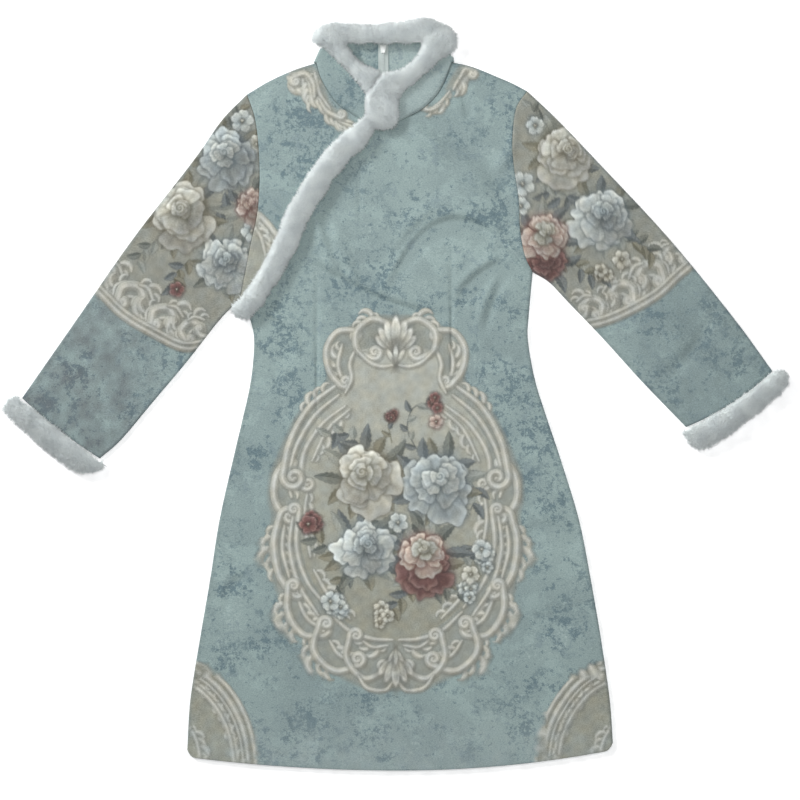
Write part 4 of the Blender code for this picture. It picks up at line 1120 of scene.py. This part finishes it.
def sleeve(side, material):
    s = -1 if side == "Left" else 1
    armhole = aside(lines["armhole" + side], -s * garment["shownSeam"])
    topEdge, underEdge = lines["top" + side], lines["under" + side]
    shape, bow = sleeveShape, sleeveShape["bow" + side]
    first, last = topEdge[-1], underEdge[-1]
    outwards = first - atShare(topEdge, 0.9)
    outwards /= np.hypot(*outwards)

    def place(across, share):
        across, share = np.broadcast_arrays(across, share)
        a, t = across[..., None], share[..., None]
        sides = atShare(topEdge, share) * (1 - a) + atShare(underEdge, share) * a
        cuff = first * (1 - a) + last * a + outwards * bow * 4 * a * (1 - a)
        ends = atShare(armhole, across) * (1 - t) + cuff * t
        corners = (topEdge[0] * (1 - a) + underEdge[0] * a) * (1 - t) + (first * (1 - a) + last * a) * t
        return sides + ends - corners - outwards * garment["seam"] * t

    def columns(count):
        t = np.linspace(0, 1, count)
        return t - shape["gather"] * np.sin(2 * np.pi * t) / (2 * np.pi)

    across = np.concatenate([columns(shape["columns"]), columns(shape["lowColumns"])[1:-1][::-1]])
    count, end = len(across), shape["printEnd"]
    isTop = np.arange(count) < shape["columns"]
    rows = np.concatenate([np.linspace(0, end, shape["printRows"], endpoint=False),
                           np.linspace(end, 1, shape["plainRows"])])
    innerRows = np.linspace(0, 1, shape["innerRows"])
    seam = lines["armhole" + side]

    def innerRing(share):
        tuck = shape["tuck"] / np.hypot(*(atShare(topEdge, share) - atShare(underEdge, share)))
        return place(np.clip(across, tuck, 1 - tuck), share)

    def heights(spots, inner):
        distance = edgeDistance(spots)
        nose = garment["seamLevel"]
        high = faceHeight(spots, [seam])
        low = nose + (backUnder(spots, distance) - nose) * rounded(distance, garment["noseReach"])
        low += shape["lift"] * (1 - rounded(distanceTo(spots, seam), garment["seamReach"]))
        high = np.maximum(high, nose)
        if inner:
            middle = (high + low) / 2
            high = np.minimum(high - shape["wall"], shape["innerTop"])
            low = np.minimum(low + shape["wall"], middle - 0.05)
            high = np.maximum(high, low + 0.1)
        return np.where(np.tile(isTop, len(spots) // count), high, low)

    outer = np.vstack([place(across, share) for share in rows])
    inner = np.vstack([innerRing(share) for share in innerRows])
    paint = Painting(outer)
    paintSleeve(paint, side)
    paint.age()
    z = heights(outer, False) + np.tile(isTop, len(rows)) * paint.relief * garment["figureLift"]
    points = np.vstack([np.column_stack([outer, z]), np.column_stack([inner, heights(inner, True)])])
    faces = []
    flip = side == "Left"

    def strip(start, rowCount, reverse):
        for r in range(rowCount - 1):
            a, b = start + r * count, start + (r + 1) * count
            for i in range(count):
                j = (i + 1) % count
                face = (a + i, a + j, b + j, b + i)
                faces.append(face[::-1] if reverse else face)

    shift = len(outer)
    strip(0, len(rows), flip)
    strip(shift, len(innerRows), not flip)
    lastOuter, lastInner = (len(rows) - 1) * count, shift + (len(innerRows) - 1) * count
    for i in range(count):
        j = (i + 1) % count
        one = (i, shift + i, shift + j, j)
        two = (lastOuter + j, lastInner + j, lastInner + i, lastOuter + i)
        faces.append(one[::-1] if flip else one)
        faces.append(two[::-1] if flip else two)
    colours = np.vstack([paint.ink, np.tile(field["top"], (len(inner), 1))])
    cover = np.concatenate([paint.cover, np.zeros(len(inner))])
    outline = joined(armhole, underEdge, topEdge[::-1])
    return newPiece("sleeve" + side, points, faces, material, colours, cover), outline


# the pale tone and its shares are painted light: the right collar is laid paler, against the shadow that the
# fur casts on it
collarShape = {"level": 6.1, "backTop": 448.6, "sideLeft": 440.0, "sideRight": 429.5, "foldSteps": 12,
               "acrossSteps": 9, "endLeft": 26.0, "endRight": 12.0, "swell": 0.7,
               "paintedLightTone": ink(174, 188, 186), "paleLeft": 0.0, "paleRight": 0.36}


def collar(side, material):
    left = side == "Left"
    neck = evenLine(lines["neckBack"], 3.0)
    dip = int(np.argmin(np.abs(neck[:, 0] - neckBack[2][0])))
    backSeam = neck[:dip + 1][::-1] if left else neck[dip:]
    frontSeam = evenLine(lines["neckLeft"] if left else lines["neckRight"][::-1], 3.0)
    tops = collarTopLeft if left else collarTopRight
    out = -1.0 if left else 1.0
    topEdge = aside(smoothLine(tops), out * 1.5)
    sideY = collarShape["sideLeft"] if left else collarShape["sideRight"]
    lowLevel = garment["cloth"] / 2
    radius = (collarShape["level"] - lowLevel) / 2
    sections = []
    for number, low in enumerate(backSeam):
        share = number / (len(backSeam) - 1)
        highY = collarShape["backTop"] + (sideY - collarShape["backTop"]) * float(ease(0.6, 1.0, share))
        high = np.array([low[0] + (tops[0][0] - low[0]) * share, highY])
        nudge = out * garment["seam"] / 2 if number == 0 else 0.0
        sections.append((low + (nudge, garment["shownSeam"]), high + (nudge, 0), lowLevel, 0.0))
    low, high = sections[-1][0], sections[-1][1]
    for step in range(1, collarShape["foldSteps"]):
        turn = math.pi * step / collarShape["foldSteps"]
        bulge = np.array([out * math.sin(turn) * radius, 0])
        sections.append((low + bulge, high + bulge, lowLevel + radius * (1 - math.cos(turn)), turn))
    stop = collarShape["endLeft"] if left else collarShape["endRight"]
    kept = frontSeam[np.hypot(*(frontSeam - frontSeam[-1]).T) > stop]
    ahead = units(np.gradient(kept, axis=0))
    inwards = np.stack([-ahead[:, 1], ahead[:, 0]], 1) * (1 if left else -1)
    for number, point in enumerate(kept):
        share = number / (len(kept) - 1)
        base = point + inwards[number] * garment["shownSeam"] if number else low
        sections.append((base, atShare(topEdge, share), collarShape["level"], math.pi))
    across = np.linspace(0, 1, collarShape["acrossSteps"])
    points, faces = [], []
    for low, high, level, turn in sections:
        normal = np.array([out * math.sin(turn), 0.0, -math.cos(turn)])
        swell = np.sin(np.pi * across) - 0.9 * np.exp(-across * 14)
        swell = collarShape["swell"] * swell * max(0.0, -math.cos(turn))
        line = np.column_stack([low + (high - low) * across[:, None], level + swell])
        points += [p + normal * lowLevel for p in line] + [p - normal * lowLevel for p in line[::-1]]
    count = 2 * len(across)
    for r in range(len(sections) - 1):
        for i in range(count):
            j = (i + 1) % count
            face = (r * count + i, r * count + j, (r + 1) * count + j, (r + 1) * count + i)
            faces.append(face if left else face[::-1])
    half = len(across)
    for r, reverse in ((0, not left), (len(sections) - 1, left)):
        for i in range(half - 1):
            face = (r * count + i, r * count + i + 1, r * count + count - 2 - i, r * count + count - 1 - i)
            faces.append(face if reverse else face[::-1])
    # painted light: a paler colour is laid over the collar, to lift the fur's shadow on the right one
    pale = np.full(len(points), collarShape["pale" + side])
    tones = np.tile(collarShape["paintedLightTone"], (len(points), 1))
    piece = newPiece("collar" + side, points, faces, material, tones, pale)
    length, area = 0.0, 0.0
    for (lowA, highA, levelA, _), (lowB, highB, levelB, _) in zip(sections, sections[1:]):
        climb = levelB - levelA
        lowStep, highStep = math.hypot(*(lowB - lowA), climb), math.hypot(*(highB - highA), climb)
        length += max(lowStep, highStep)
        area += (lowStep + highStep) / 2 * (math.dist(lowA, highA) + math.dist(lowB, highB)) / 2
    return piece, float(length) * mm, float(area) * mm * mm


# Shader maths as Python expressions on sockets

class Wire:
    def __init__(self, tree, socket=None):
        self.tree, self.socket = tree, socket

    def node(self, kind, settings=None, inputs=None, out=0):
        made = self.tree.nodes.new(kind)
        for key, value in (settings or {}).items():
            if key == "stops":
                ramp = made.color_ramp.elements
                while len(ramp) < len(value):
                    ramp.new(0.5)
                for element, (spot, colour) in zip(ramp, value):
                    element.position, element.color = spot, colour
            else:
                setattr(made, key, value)
        for key, value in (inputs or {}).items():
            if isinstance(value, Wire):
                self.tree.links.new(value.socket, made.inputs[key])
            else:
                made.inputs[key].default_value = value
        return Wire(self.tree, made.outputs[out])

    def maths(self, operation, one, two=None):
        inputs = {0: one} if two is None else {0: one, 1: two}
        return self.node("ShaderNodeMath", {"operation": operation}, inputs)

    def __add__(self, other):
        return self.maths("ADD", self, other)

    def __radd__(self, other):
        return self.maths("ADD", other, self)

    def __sub__(self, other):
        return self.maths("SUBTRACT", self, other)

    def __rsub__(self, other):
        return self.maths("SUBTRACT", other, self)

    def __mul__(self, other):
        return self.maths("MULTIPLY", self, other)

    def __rmul__(self, other):
        return self.maths("MULTIPLY", other, self)

    def ramp(self, low, high):
        return self.node("ShaderNodeMapRange", {"interpolation_type": "SMOOTHSTEP"},
                         {"Value": self, "From Min": low, "From Max": high})

    def blend(self, factor, one, two, way="MIX"):
        return self.node("ShaderNodeMix", {"data_type": "RGBA", "blend_type": way},
                         {0: factor, 6: one, 7: two}, 2)

    def mixed(self, factor, other):
        return self.blend(factor, self, other)

    def noise(self, places, scale, detail, out=0):
        inputs = {"Vector": places, "Scale": scale, "Detail": detail}
        return self.node("ShaderNodeTexNoise", None, inputs, out)


def newMaterial(name):
    material = bpy.data.materials.new(name)
    material.use_nodes = True
    tree = material.node_tree
    tree.nodes.clear()
    start = Wire(tree)
    shader = tree.nodes.new("ShaderNodeBsdfPrincipled")
    output = tree.nodes.new("ShaderNodeOutputMaterial")
    tree.links.new(shader.outputs[0], output.inputs[0])
    return material, start, shader


def connect(start, shader, links, fixed):
    for key, value in links.items():
        start.tree.links.new(value.socket, shader.inputs[key])
    for key, value in fixed.items():
        shader.inputs[key].default_value = value


def rgb(red, green, blue):
    return (*[float(v) for v in toLinear(np.array([red, green, blue]) / 255)], 1.0)


jacquard = {
    "ground": (145, 163, 161), "deepGround": (133, 150, 150), "paleGround": (163, 183, 180),
    "smudge": (117, 135, 141), "speck": (96, 117, 124), "fleck": (172, 189, 186),
    "roughness": 0.60, "sheen": 0.18, "weave": 0.35, "threads": 0.30,
}
# noises of the ground: scale, detail, roughness, stretch, shift, and the values between which each sets in
jacquardNoises = {
    "cloud": (6.0, 4.0, 0.6, 1.0, 1.0, 0.0, 0.34, 0.68),
    "smear": (19.0, 8.0, 0.72, 1.0, 1.1, 3.0, 0.53, 0.57),
    "smudge": (24.0, 8.0, 0.80, 1.1, 1.0, 9.0, 0.58, 0.605),
    "blotch": (9.0, 5.0, 0.62, 1.0, 1.0, 12.0, 0.475, 0.575),
    "chip": (92.0, 6.0, 0.80, 1.0, 1.0, 1.0, 0.525, 0.545),
    "patch": (23.0, 8.0, 0.84, 1.2, 1.0, 16.0, 0.590, 0.605),
    "lone": (120.0, 5.0, 0.78, 1.0, 1.1, 21.0, 0.605, 0.625),
    "fleckPlace": (16.0, 5.0, 0.7, 1.0, 1.1, 30.0, 0.54, 0.66),
    "fleck": (260.0, 3.0, 0.7, 1.0, 1.1, 2.0, 0.52, 0.6),
}


def jacquardMaterial():
    material, start, shader = newMaterial("jacquard")
    places = start.node("ShaderNodeTexCoord", out=3)

    def noise(scale, detail, rough, across=1.0, along=1.0, shift=0.0):
        mapped = start.node("ShaderNodeMapping", None, {"Vector": places, "Scale": (across, along, 1),
                                                        "Location": (shift, shift * 0.7, 0)})
        return start.node("ShaderNodeTexNoise", None, {"Vector": mapped, "Scale": scale, "Detail": detail,
                                                       "Roughness": rough})

    def tone(key):
        return rgb(*jacquard[key])

    def layer(name):
        row = jacquardNoises[name]
        return noise(*row[:6]).ramp(*row[6:])

    def most(one, two):
        return start.maths("MAXIMUM", one, two)

    base = start.blend(layer("cloud"), tone("deepGround"), tone("ground"))
    base = base.mixed(layer("smear") * 0.30, tone("paleGround"))
    base = base.mixed(layer("smudge") * 0.50, tone("smudge"))
    specks = most(layer("blotch") * layer("chip") * 0.85, layer("lone") * 0.80)
    specks = most(specks, layer("patch") * 0.62)
    gathered = start.node("ShaderNodeAttribute", {"attribute_name": "flecks"}, out=2)
    worn = noise(76.0, 7.0, 0.82, 1.0, 1.0, 34.0) + gathered * 0.11
    specks = most(specks, worn.ramp(0.575, 0.600) * gathered.ramp(0.06, 0.34) * 0.88)
    base = base.mixed(specks, tone("speck"))
    base = base.mixed(layer("fleckPlace") * layer("fleck") * 0.4, tone("fleck"))
    figure = start.node("ShaderNodeAttribute", {"attribute_name": "ink"})
    cover = Wire(start.tree, figure.socket.node.outputs["Alpha"])
    base = base.mixed(cover, figure)

    def threads(direction, scale, distortion):
        return start.node("ShaderNodeTexWave", {"wave_type": "BANDS", "bands_direction": direction},
                          {"Vector": places, "Scale": scale, "Distortion": distortion, "Detail": 1.0,
                           "Detail Scale": 2.0}, 1)

    weft, warp = threads("Y", 420.0, 1.2), threads("X", 360.0, 0.8)
    slub = noise(520.0, 3.0, 0.7, 1.0, 2.2, 4.0)
    thread = slub.ramp(0.30, 0.70)
    grey = start.node("ShaderNodeCombineColor", None, {0: thread, 1: thread, 2: thread})
    base = start.blend(jacquard["threads"], base, grey, "SOFT_LIGHT")
    height = weft * 0.45 + warp * 0.2 + slub * 0.7 + cover * 0.3
    bump = start.node("ShaderNodeBump", None,
                      {"Height": height, "Strength": jacquard["weave"], "Distance": 0.0003})
    rough = jacquard["roughness"] + 0.14 * slub - 0.05 * cover
    connect(start, shader, {"Base Color": base, "Normal": bump, "Roughness": rough},
            {"Sheen Weight": jacquard["sheen"], "Sheen Roughness": 0.4, "Specular IOR Level": 0.3})
    return material


furLook = {"colour": (238, 244, 243), "shadow": (221, 228, 229), "sheen": 0.32}


def furMaterial():
    material, start, shader = newMaterial("whiteFur")
    places = start.node("ShaderNodeTexCoord", out=3)
    soft, fine = start.noise(places, 60.0, 3.0), start.noise(places, 700.0, 1.0)
    factor = (soft * 0.6 + fine * 0.4).ramp(0.35, 0.65)
    base = start.blend(factor, rgb(*furLook["shadow"]), rgb(*furLook["colour"]))
    rough = 0.82 + 0.1 * fine
    connect(start, shader, {"Base Color": base, "Roughness": rough},
            {"Sheen Weight": furLook["sheen"], "Sheen Roughness": 0.6, "Specular IOR Level": 0.2})
    return material


def plainMaterial(name, colour, roughness, metallic=0.0, weave=0.0, coat=0.0):
    material, start, shader = newMaterial(name)
    places = start.node("ShaderNodeTexCoord", out=3)
    grain, wear = start.noise(places, 900.0, 2.0), start.noise(places, 60.0, 3.0)
    dim = tuple(v * 0.86 for v in rgb(*colour)[:3]) + (1.0,)
    base = start.blend(wear.ramp(0.3, 0.7), dim, rgb(*colour))
    bump = start.node("ShaderNodeBump", None, {"Height": grain, "Strength": weave, "Distance": 0.0002})
    connect(start, shader, {"Base Color": base, "Normal": bump, "Roughness": roughness - 0.06 + 0.12 * grain},
            {"Metallic": metallic, "Coat Weight": coat})
    return material


# Geometry Nodes trees

def newTree(name, sizes):
    tree = bpy.data.node_groups.new(name, "GeometryNodeTree")
    tree.interface.new_socket("Geometry", in_out="INPUT", socket_type="NodeSocketGeometry")
    for label, value in sizes.items():
        kind = "NodeSocketInt" if isinstance(value, int) else "NodeSocketFloat"
        tree.interface.new_socket(label, in_out="INPUT", socket_type=kind).default_value = value
    tree.interface.new_socket("Geometry", in_out="OUTPUT", socket_type="NodeSocketGeometry")
    group = tree.nodes.new("NodeGroupInput")

    def given(label):
        return Wire(tree, group.outputs[label])

    return tree, Wire(tree), given, tree.nodes.new("NodeGroupOutput")


fur = {"density": 3.6e6, "length": 0.0066, "width": 0.00050, "stand": 0.70, "clump": 1.7, "stray": 0.42,
       "clumpScale": 80.0, "shrink": 3.0, "uneven": 0.8, "unevenSize": 13.0, "floor": 0.0004, "voxel": 1.8,
       "soften": 0.6, "softenRounds": 10, "clearance": 0.2}

# where two strips of fur meet, each reaches into the other: place, reach and shift in plan
furJoins = {"fur_collar_left": [(-17, 461, 18, 6, 0), (-38, 378, 18, 5, -5), (-46, 450, 20, 0, -3.5),
                               (-20, 450, 14, 0, -3.5)],
            "fur_collar_right": [(-17, 461, 18, -6, 0), (14, 450, 20, 0, -3.5), (-12, 450, 14, 0, -3.5)],
            "fur_front": [(-38, 349, 42, 19, 15)]}
furWaists = {"fur_front": [(-178, 152, 95, 3.6)]}  # a strip is narrower here: place, reach, amount a side


def furTree(material):
    sizes = {name.title(): fur[name] for name in ("density", "length", "width", "stand", "clump", "stray")}
    tree, start, given, output = newTree("furOverCore", {**sizes, "Seed": 3})
    core = given("Geometry")
    normal = start.node("GeometryNodeInputNormal")
    upward = start.node("ShaderNodeSeparateXYZ", None, {0: normal}, 2)
    picked = start.node("FunctionNodeCompare", {"data_type": "FLOAT", "operation": "GREATER_THAN"},
                        {0: upward, 1: -0.35})
    scattered = start.node("GeometryNodeDistributePointsOnFaces", {"distribute_method": "RANDOM"},
                           {"Mesh": core, "Selection": picked, "Density": given("Density"),
                            "Seed": given("Seed")})
    outward = Wire(tree, scattered.socket.node.outputs["Normal"])
    place = start.node("GeometryNodeInputPosition")
    swirl = start.noise(place, fur["clumpScale"], 2.0, 1)
    centred = start.node("ShaderNodeVectorMath", {"operation": "SUBTRACT"}, {0: swirl, 1: (0.5, 0.5, 0.5)})
    stray = start.node("FunctionNodeRandomValue", {"data_type": "FLOAT_VECTOR"},
                       {0: (-1, -1, -1), 1: (1, 1, 1), "Seed": given("Seed")})

    def scaled(vector, amount):
        return start.node("ShaderNodeVectorMath", {"operation": "SCALE"}, {0: vector, "Scale": amount})

    def added(one, two):
        return start.node("ShaderNodeVectorMath", {"operation": "ADD"}, {0: one, 1: two})

    lean = added(added(scaled(outward, given("Stand")), scaled(centred, given("Clump"))),
                 scaled(stray, given("Stray")))
    turned = start.node("FunctionNodeAlignRotationToVector", {"axis": "Z"}, {"Vector": lean})
    hair = start.node("GeometryNodeMeshCone", {"fill_type": "NONE"},
                      {"Vertices": 3, "Side Segments": 1, "Radius Top": 0.0, "Radius Bottom": given("Width"),
                       "Depth": given("Length")})
    size = start.node("FunctionNodeRandomValue", {"data_type": "FLOAT"},
                      {2: 0.55, 3: 1.25, "Seed": given("Seed") + 7}, 1)
    hairs = start.node("GeometryNodeInstanceOnPoints", None,
                       {"Points": scattered, "Instance": hair, "Rotation": turned, "Scale": size})
    loose = start.node("GeometryNodeRealizeInstances", None, {"Geometry": hairs})
    both = tree.nodes.new("GeometryNodeJoinGeometry")
    tree.links.new(loose.socket, both.inputs[0])
    tree.links.new(core.socket, both.inputs[0])
    spot = start.node("GeometryNodeInputPosition")
    parts = start.node("ShaderNodeSeparateXYZ", None, {0: spot})
    x, y, z = (Wire(tree, parts.socket.node.outputs[k]) for k in range(3))
    above = start.node("ShaderNodeCombineXYZ", None, {0: x, 1: y, 2: z.maths("MAXIMUM", z, fur["floor"])})
    kept = start.node("GeometryNodeSetPosition", None,
                      {"Geometry": Wire(tree, both.outputs[0]), "Position": above})
    done = start.node("GeometryNodeSetMaterial", None, {"Geometry": kept, "Material": material})
    tree.links.new(done.socket, output.inputs[0])
    return tree


def evaluated(piece):
    # the piece's mesh with its modifiers applied; the piece itself goes
    depsgraph = bpy.context.evaluated_depsgraph_get()
    mesh = bpy.data.meshes.new_from_object(piece.evaluated_get(depsgraph))
    old = piece.data
    bpy.data.objects.remove(piece)
    bpy.data.meshes.remove(old)
    return mesh


def baked(piece, tree, name, values=None):
    modifier = piece.modifiers.new("grow", "NODES")
    modifier.node_group = tree
    for item in tree.interface.items_tree:
        if item.item_type == "SOCKET" and item.in_out == "INPUT" and values and item.name in values:
            modifier[item.identifier] = values[item.name]
    mesh = evaluated(piece)
    mesh.name = name
    return placed(name, mesh)


def nearness(place, x, y, reach):
    return 1 - float(ease(0, reach, math.hypot(place.x / mm - x, place.y / mm - y)))


def furPiece(node, name, tree, seed):
    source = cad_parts[node]
    body = bmesh.new()
    body.from_mesh(source.data)
    bmesh.ops.remove_doubles(body, verts=body.verts, dist=1e-6)
    mesh = bpy.data.meshes.new(name + "Core")
    body.to_mesh(mesh)
    body.free()
    core = placed(name + "Core", mesh)
    remesh = core.modifiers.new("even", "REMESH")
    remesh.mode = "VOXEL"
    remesh.voxel_size = fur["voxel"] * mm
    smooth = core.modifiers.new("soften", "SMOOTH")
    smooth.factor = fur["soften"]
    smooth.iterations = fur["softenRounds"]
    dense = evaluated(core)
    body = bmesh.new()
    body.from_mesh(dense)
    body.normal_update()
    places = np.array([vert.co[:2] for vert in body.verts]) / mm
    shrink = fur["shrink"] + fur["uneven"] * wobble(places, fur["unevenSize"], seed)
    moved = [vert.co - vert.normal * float(less) * mm for vert, less in zip(body.verts, shrink)]
    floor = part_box(node)[0][2]
    for vert, place in zip(body.verts, moved):
        for x, y, reach, right, forward in furJoins.get(node, []):
            place += Vector((right, forward, 0)) * (nearness(place, x, y, reach) * mm)
        for x, y, reach, inward in furWaists.get(node, []):
            pull = nearness(place, x, y, reach)
            place -= Vector((vert.normal.x, vert.normal.y, 0)) * (pull * inward * mm)
        vert.co = place
        vert.co.z = max(place.z, floor + fur["clearance"] * mm)
    body.to_mesh(dense)
    body.free()
    dense.shade_smooth()
    piece = placed(name + "Core", dense)
    result = baked(piece, tree, name, {"Seed": seed})
    result.data.shade_smooth()
    return result


zipLook = {"pitch": 1.9, "toothWide": 3.2, "toothLong": 1.05, "toothHigh": 0.9, "toothRise": 0.4,
           "fromTop": 14, "fromFoot": 4, "step": 6.0, "sliderTaper": 0.66, "sliderBevel": 0.0005}


def zipTree(material):
    tree, start, given, output = newTree("zipTeeth", {
        "Pitch": zipLook["pitch"] * mm, "Wide": zipLook["toothWide"] * mm, "Long": zipLook["toothLong"] * mm,
        "High": zipLook["toothHigh"] * mm})
    line = start.node("GeometryNodeMeshToCurve", None, {"Mesh": given("Geometry")})
    spots = start.node("GeometryNodeResampleCurve", {"mode": "LENGTH"},
                       {"Curve": line, "Length": given("Pitch")})
    size = start.node("ShaderNodeCombineXYZ", None, {0: given("Wide"), 1: given("Long"), 2: given("High")})
    tooth = start.node("GeometryNodeMeshCube", None, {"Size": size})
    teeth = start.node("GeometryNodeInstanceOnPoints", None, {"Points": spots, "Instance": tooth})
    loose = start.node("GeometryNodeRealizeInstances", None, {"Geometry": teeth})
    done = start.node("GeometryNodeSetMaterial", None, {"Geometry": loose, "Material": material})
    tree.links.new(done.socket, output.inputs[0])
    return tree


def zipTeeth(material):
    low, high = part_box("zip_tape")
    top = high[2] / mm + zipLook["toothHigh"] * zipLook["toothRise"]
    line = lines["centreBack"]
    y = np.arange(high[1] / mm - zipLook["fromTop"], low[1] / mm + zipLook["fromFoot"], -zipLook["step"])
    x = np.interp(y, line[::-1, 1], line[::-1, 0])
    mesh = bpy.data.meshes.new("zipLine")
    edges = [(i, i + 1) for i in range(len(y) - 1)]
    mesh.from_pydata([(a * mm, b * mm, top * mm) for a, b in zip(x, y)], edges, [])
    return baked(placed("zipLine", mesh), zipTree(material), "zipTeeth")


def zipSlider(material):
    low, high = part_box("zip_slider")
    centre = (low + high) / 2
    size = high - low
    body = bmesh.new()
    for wide, long, thick, lift in ((1.0, 1.0, 0.42, -0.29), (0.42, 0.62, 0.5, 0.02),
                                    (0.86, 0.9, 0.36, 0.32)):
        made = bmesh.ops.create_cube(body, size=1.0)
        bmesh.ops.scale(body, vec=(size.x * wide, size.y * long, size.z * thick), verts=made["verts"])
        taper = [v for v in made["verts"] if v.co.y < 0]
        bmesh.ops.scale(body, vec=(zipLook["sliderTaper"], 1, 1), verts=taper)
        bmesh.ops.translate(body, vec=(centre.x, centre.y, centre.z + size.z * lift), verts=made["verts"])
    bmesh.ops.bevel(body, geom=body.edges[:], offset=zipLook["sliderBevel"], segments=3, profile=0.6,
                    affect="EDGES")
    mesh = bpy.data.meshes.new("zipSlider")
    body.to_mesh(mesh)
    body.free()
    mesh.materials.append(material)
    mesh.shade_smooth()
    return placed("zipSlider", mesh)


# Making and declaring the pieces

clothMaterial = jacquardMaterial()
whiteFur = furMaterial()
tapeMaterial = plainMaterial("zipTape", (182, 192, 189), 0.8, weave=0.5)
toothMaterial = plainMaterial("zipTooth", (192, 201, 199), 0.42, weave=0.1)
sliderMaterial = plainMaterial("zipSliderEnamel", (222, 226, 223), 0.28, weave=0.05, coat=0.4)
print("materials made")


def sheetSize(outline, layers=1):
    wide, long = (outline.max(0) - outline.min(0)) * mm
    return (float(wide), float(long)), float(planArea(outline) * layers)


def declare(piece, node):
    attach(piece, "root")
    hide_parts(node)


furSeeds = {"fur_collar_left": 5, "fur_collar_right": 6, "fur_front": 7, "fur_cuff_left": 8,
            "fur_cuff_right": 9}
furNames = {"fur_collar_left": "furCollarLeft", "fur_collar_right": "furCollarRight", "fur_front": "furFront",
            "fur_cuff_left": "furCuffLeft", "fur_cuff_right": "furCuffRight"}
furGrowth = furTree(whiteFur)
furPieces = {}
for node, seed in furSeeds.items():
    furPieces[node] = furPiece(node, furNames[node], furGrowth, seed)
    declare(furPieces[node], node)
print("fur grown,", sum(len(piece.data.polygons) for piece in furPieces.values()), "faces")

front, frontOutline = frontPanel(clothMaterial)
declare(front, "front_panel")
flat, area = sheetSize(frontOutline)
underlap, underlapOutline = frontUnderlap(clothMaterial)
declare(underlap, "front_underlap")
flat, area = sheetSize(underlapOutline)
print("fronts woven,", len(front.data.polygons), "faces")

teeth = zipTeeth(toothMaterial)
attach(teeth, "root")
slider = zipSlider(sliderMaterial)
declare(slider, "zip_slider")
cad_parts["zip_tape"].data.materials.clear()
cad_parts["zip_tape"].data.materials.append(tapeMaterial)

for side in ("Left", "Right"):
    back, outline = backPanel(side, clothMaterial)
    declare(back, "back_" + side.lower())
    flat, area = sheetSize(outline)

    arm, outline = sleeve(side, clothMaterial)
    declare(arm, "sleeve_" + side.lower())
    area = planArea(outline) * 2
    longest = float(np.hypot(*(lines["top" + side][-1] - lines["top" + side][0]))) * mm
    widest = max(area / longest * 1.25, 0.3)
    float(min(area, widest * longest))

    band, length, area = collar(side, clothMaterial)
    declare(band, "collar_" + side.lower())
    print(side, "back, sleeve and collar sewn,", len(arm.data.polygons), "faces in the sleeve")


# Table, light and camera at the photograph's angle, straight above

studio = {
    "floorSize": 3.2, "floorTone": (250, 250, 250), "floorGlow": 0.34, "cameraHeight": 2.5,
    "frameWidth": 1.016,  # what the picture shows across, at 5 mm above the table
    "centre": (0.0044, -0.0064), "world": 0.34,
    "lights": (("ceilingLight", (0.06, 0.25, 1.5), 0.6, 9.0), ("rakeLight", (-2.3, 1.9, 1.5), 0.7, 80.0),
               ("fillLight", (1.6, -1.2, 1.8), 1.6, 5.0)),
}


def buildStudio():
    bpy.ops.mesh.primitive_plane_add(size=studio["floorSize"])
    floor = bpy.context.object
    floor.name = "tabletop"
    finish = plainMaterial("tabletopFinish", studio["floorTone"], 0.85, weave=0.02)
    shader = next(node for node in finish.node_tree.nodes if node.type == "BSDF_PRINCIPLED")
    shader.inputs["Emission Color"].default_value = (1, 1, 1, 1)
    shader.inputs["Emission Strength"].default_value = studio["floorGlow"]
    floor.data.materials.append(finish)
    for name, place, size, power in studio["lights"]:
        light = bpy.data.lights.new(name, "AREA")
        light.shape, light.size, light.energy = "DISK", size, power
        lamp = placed(name, light)
        lamp.location = place
        lamp.rotation_mode = "QUATERNION"
        lamp.rotation_quaternion = (-Vector(place)).to_track_quat("-Z", "Y")
    world = bpy.data.worlds.new("softRoom")
    world.use_nodes = True
    world.node_tree.nodes["Background"].inputs[0].default_value = (0.97, 0.985, 1.0, 1.0)
    world.node_tree.nodes["Background"].inputs[1].default_value = studio["world"]
    bpy.context.scene.world = world
    camera = bpy.data.cameras.new("overhead")
    camera.sensor_width = 36.0
    camera.lens = camera.sensor_width * studio["cameraHeight"] / studio["frameWidth"]
    camera.clip_end = 20.0
    view = placed("overhead", camera)
    view.location = (*studio["centre"], studio["cameraHeight"] + 0.005)
    bpy.context.scene.camera = view
    bpy.context.scene.view_settings.view_transform = "Standard"


buildStudio()
print("studio lit")
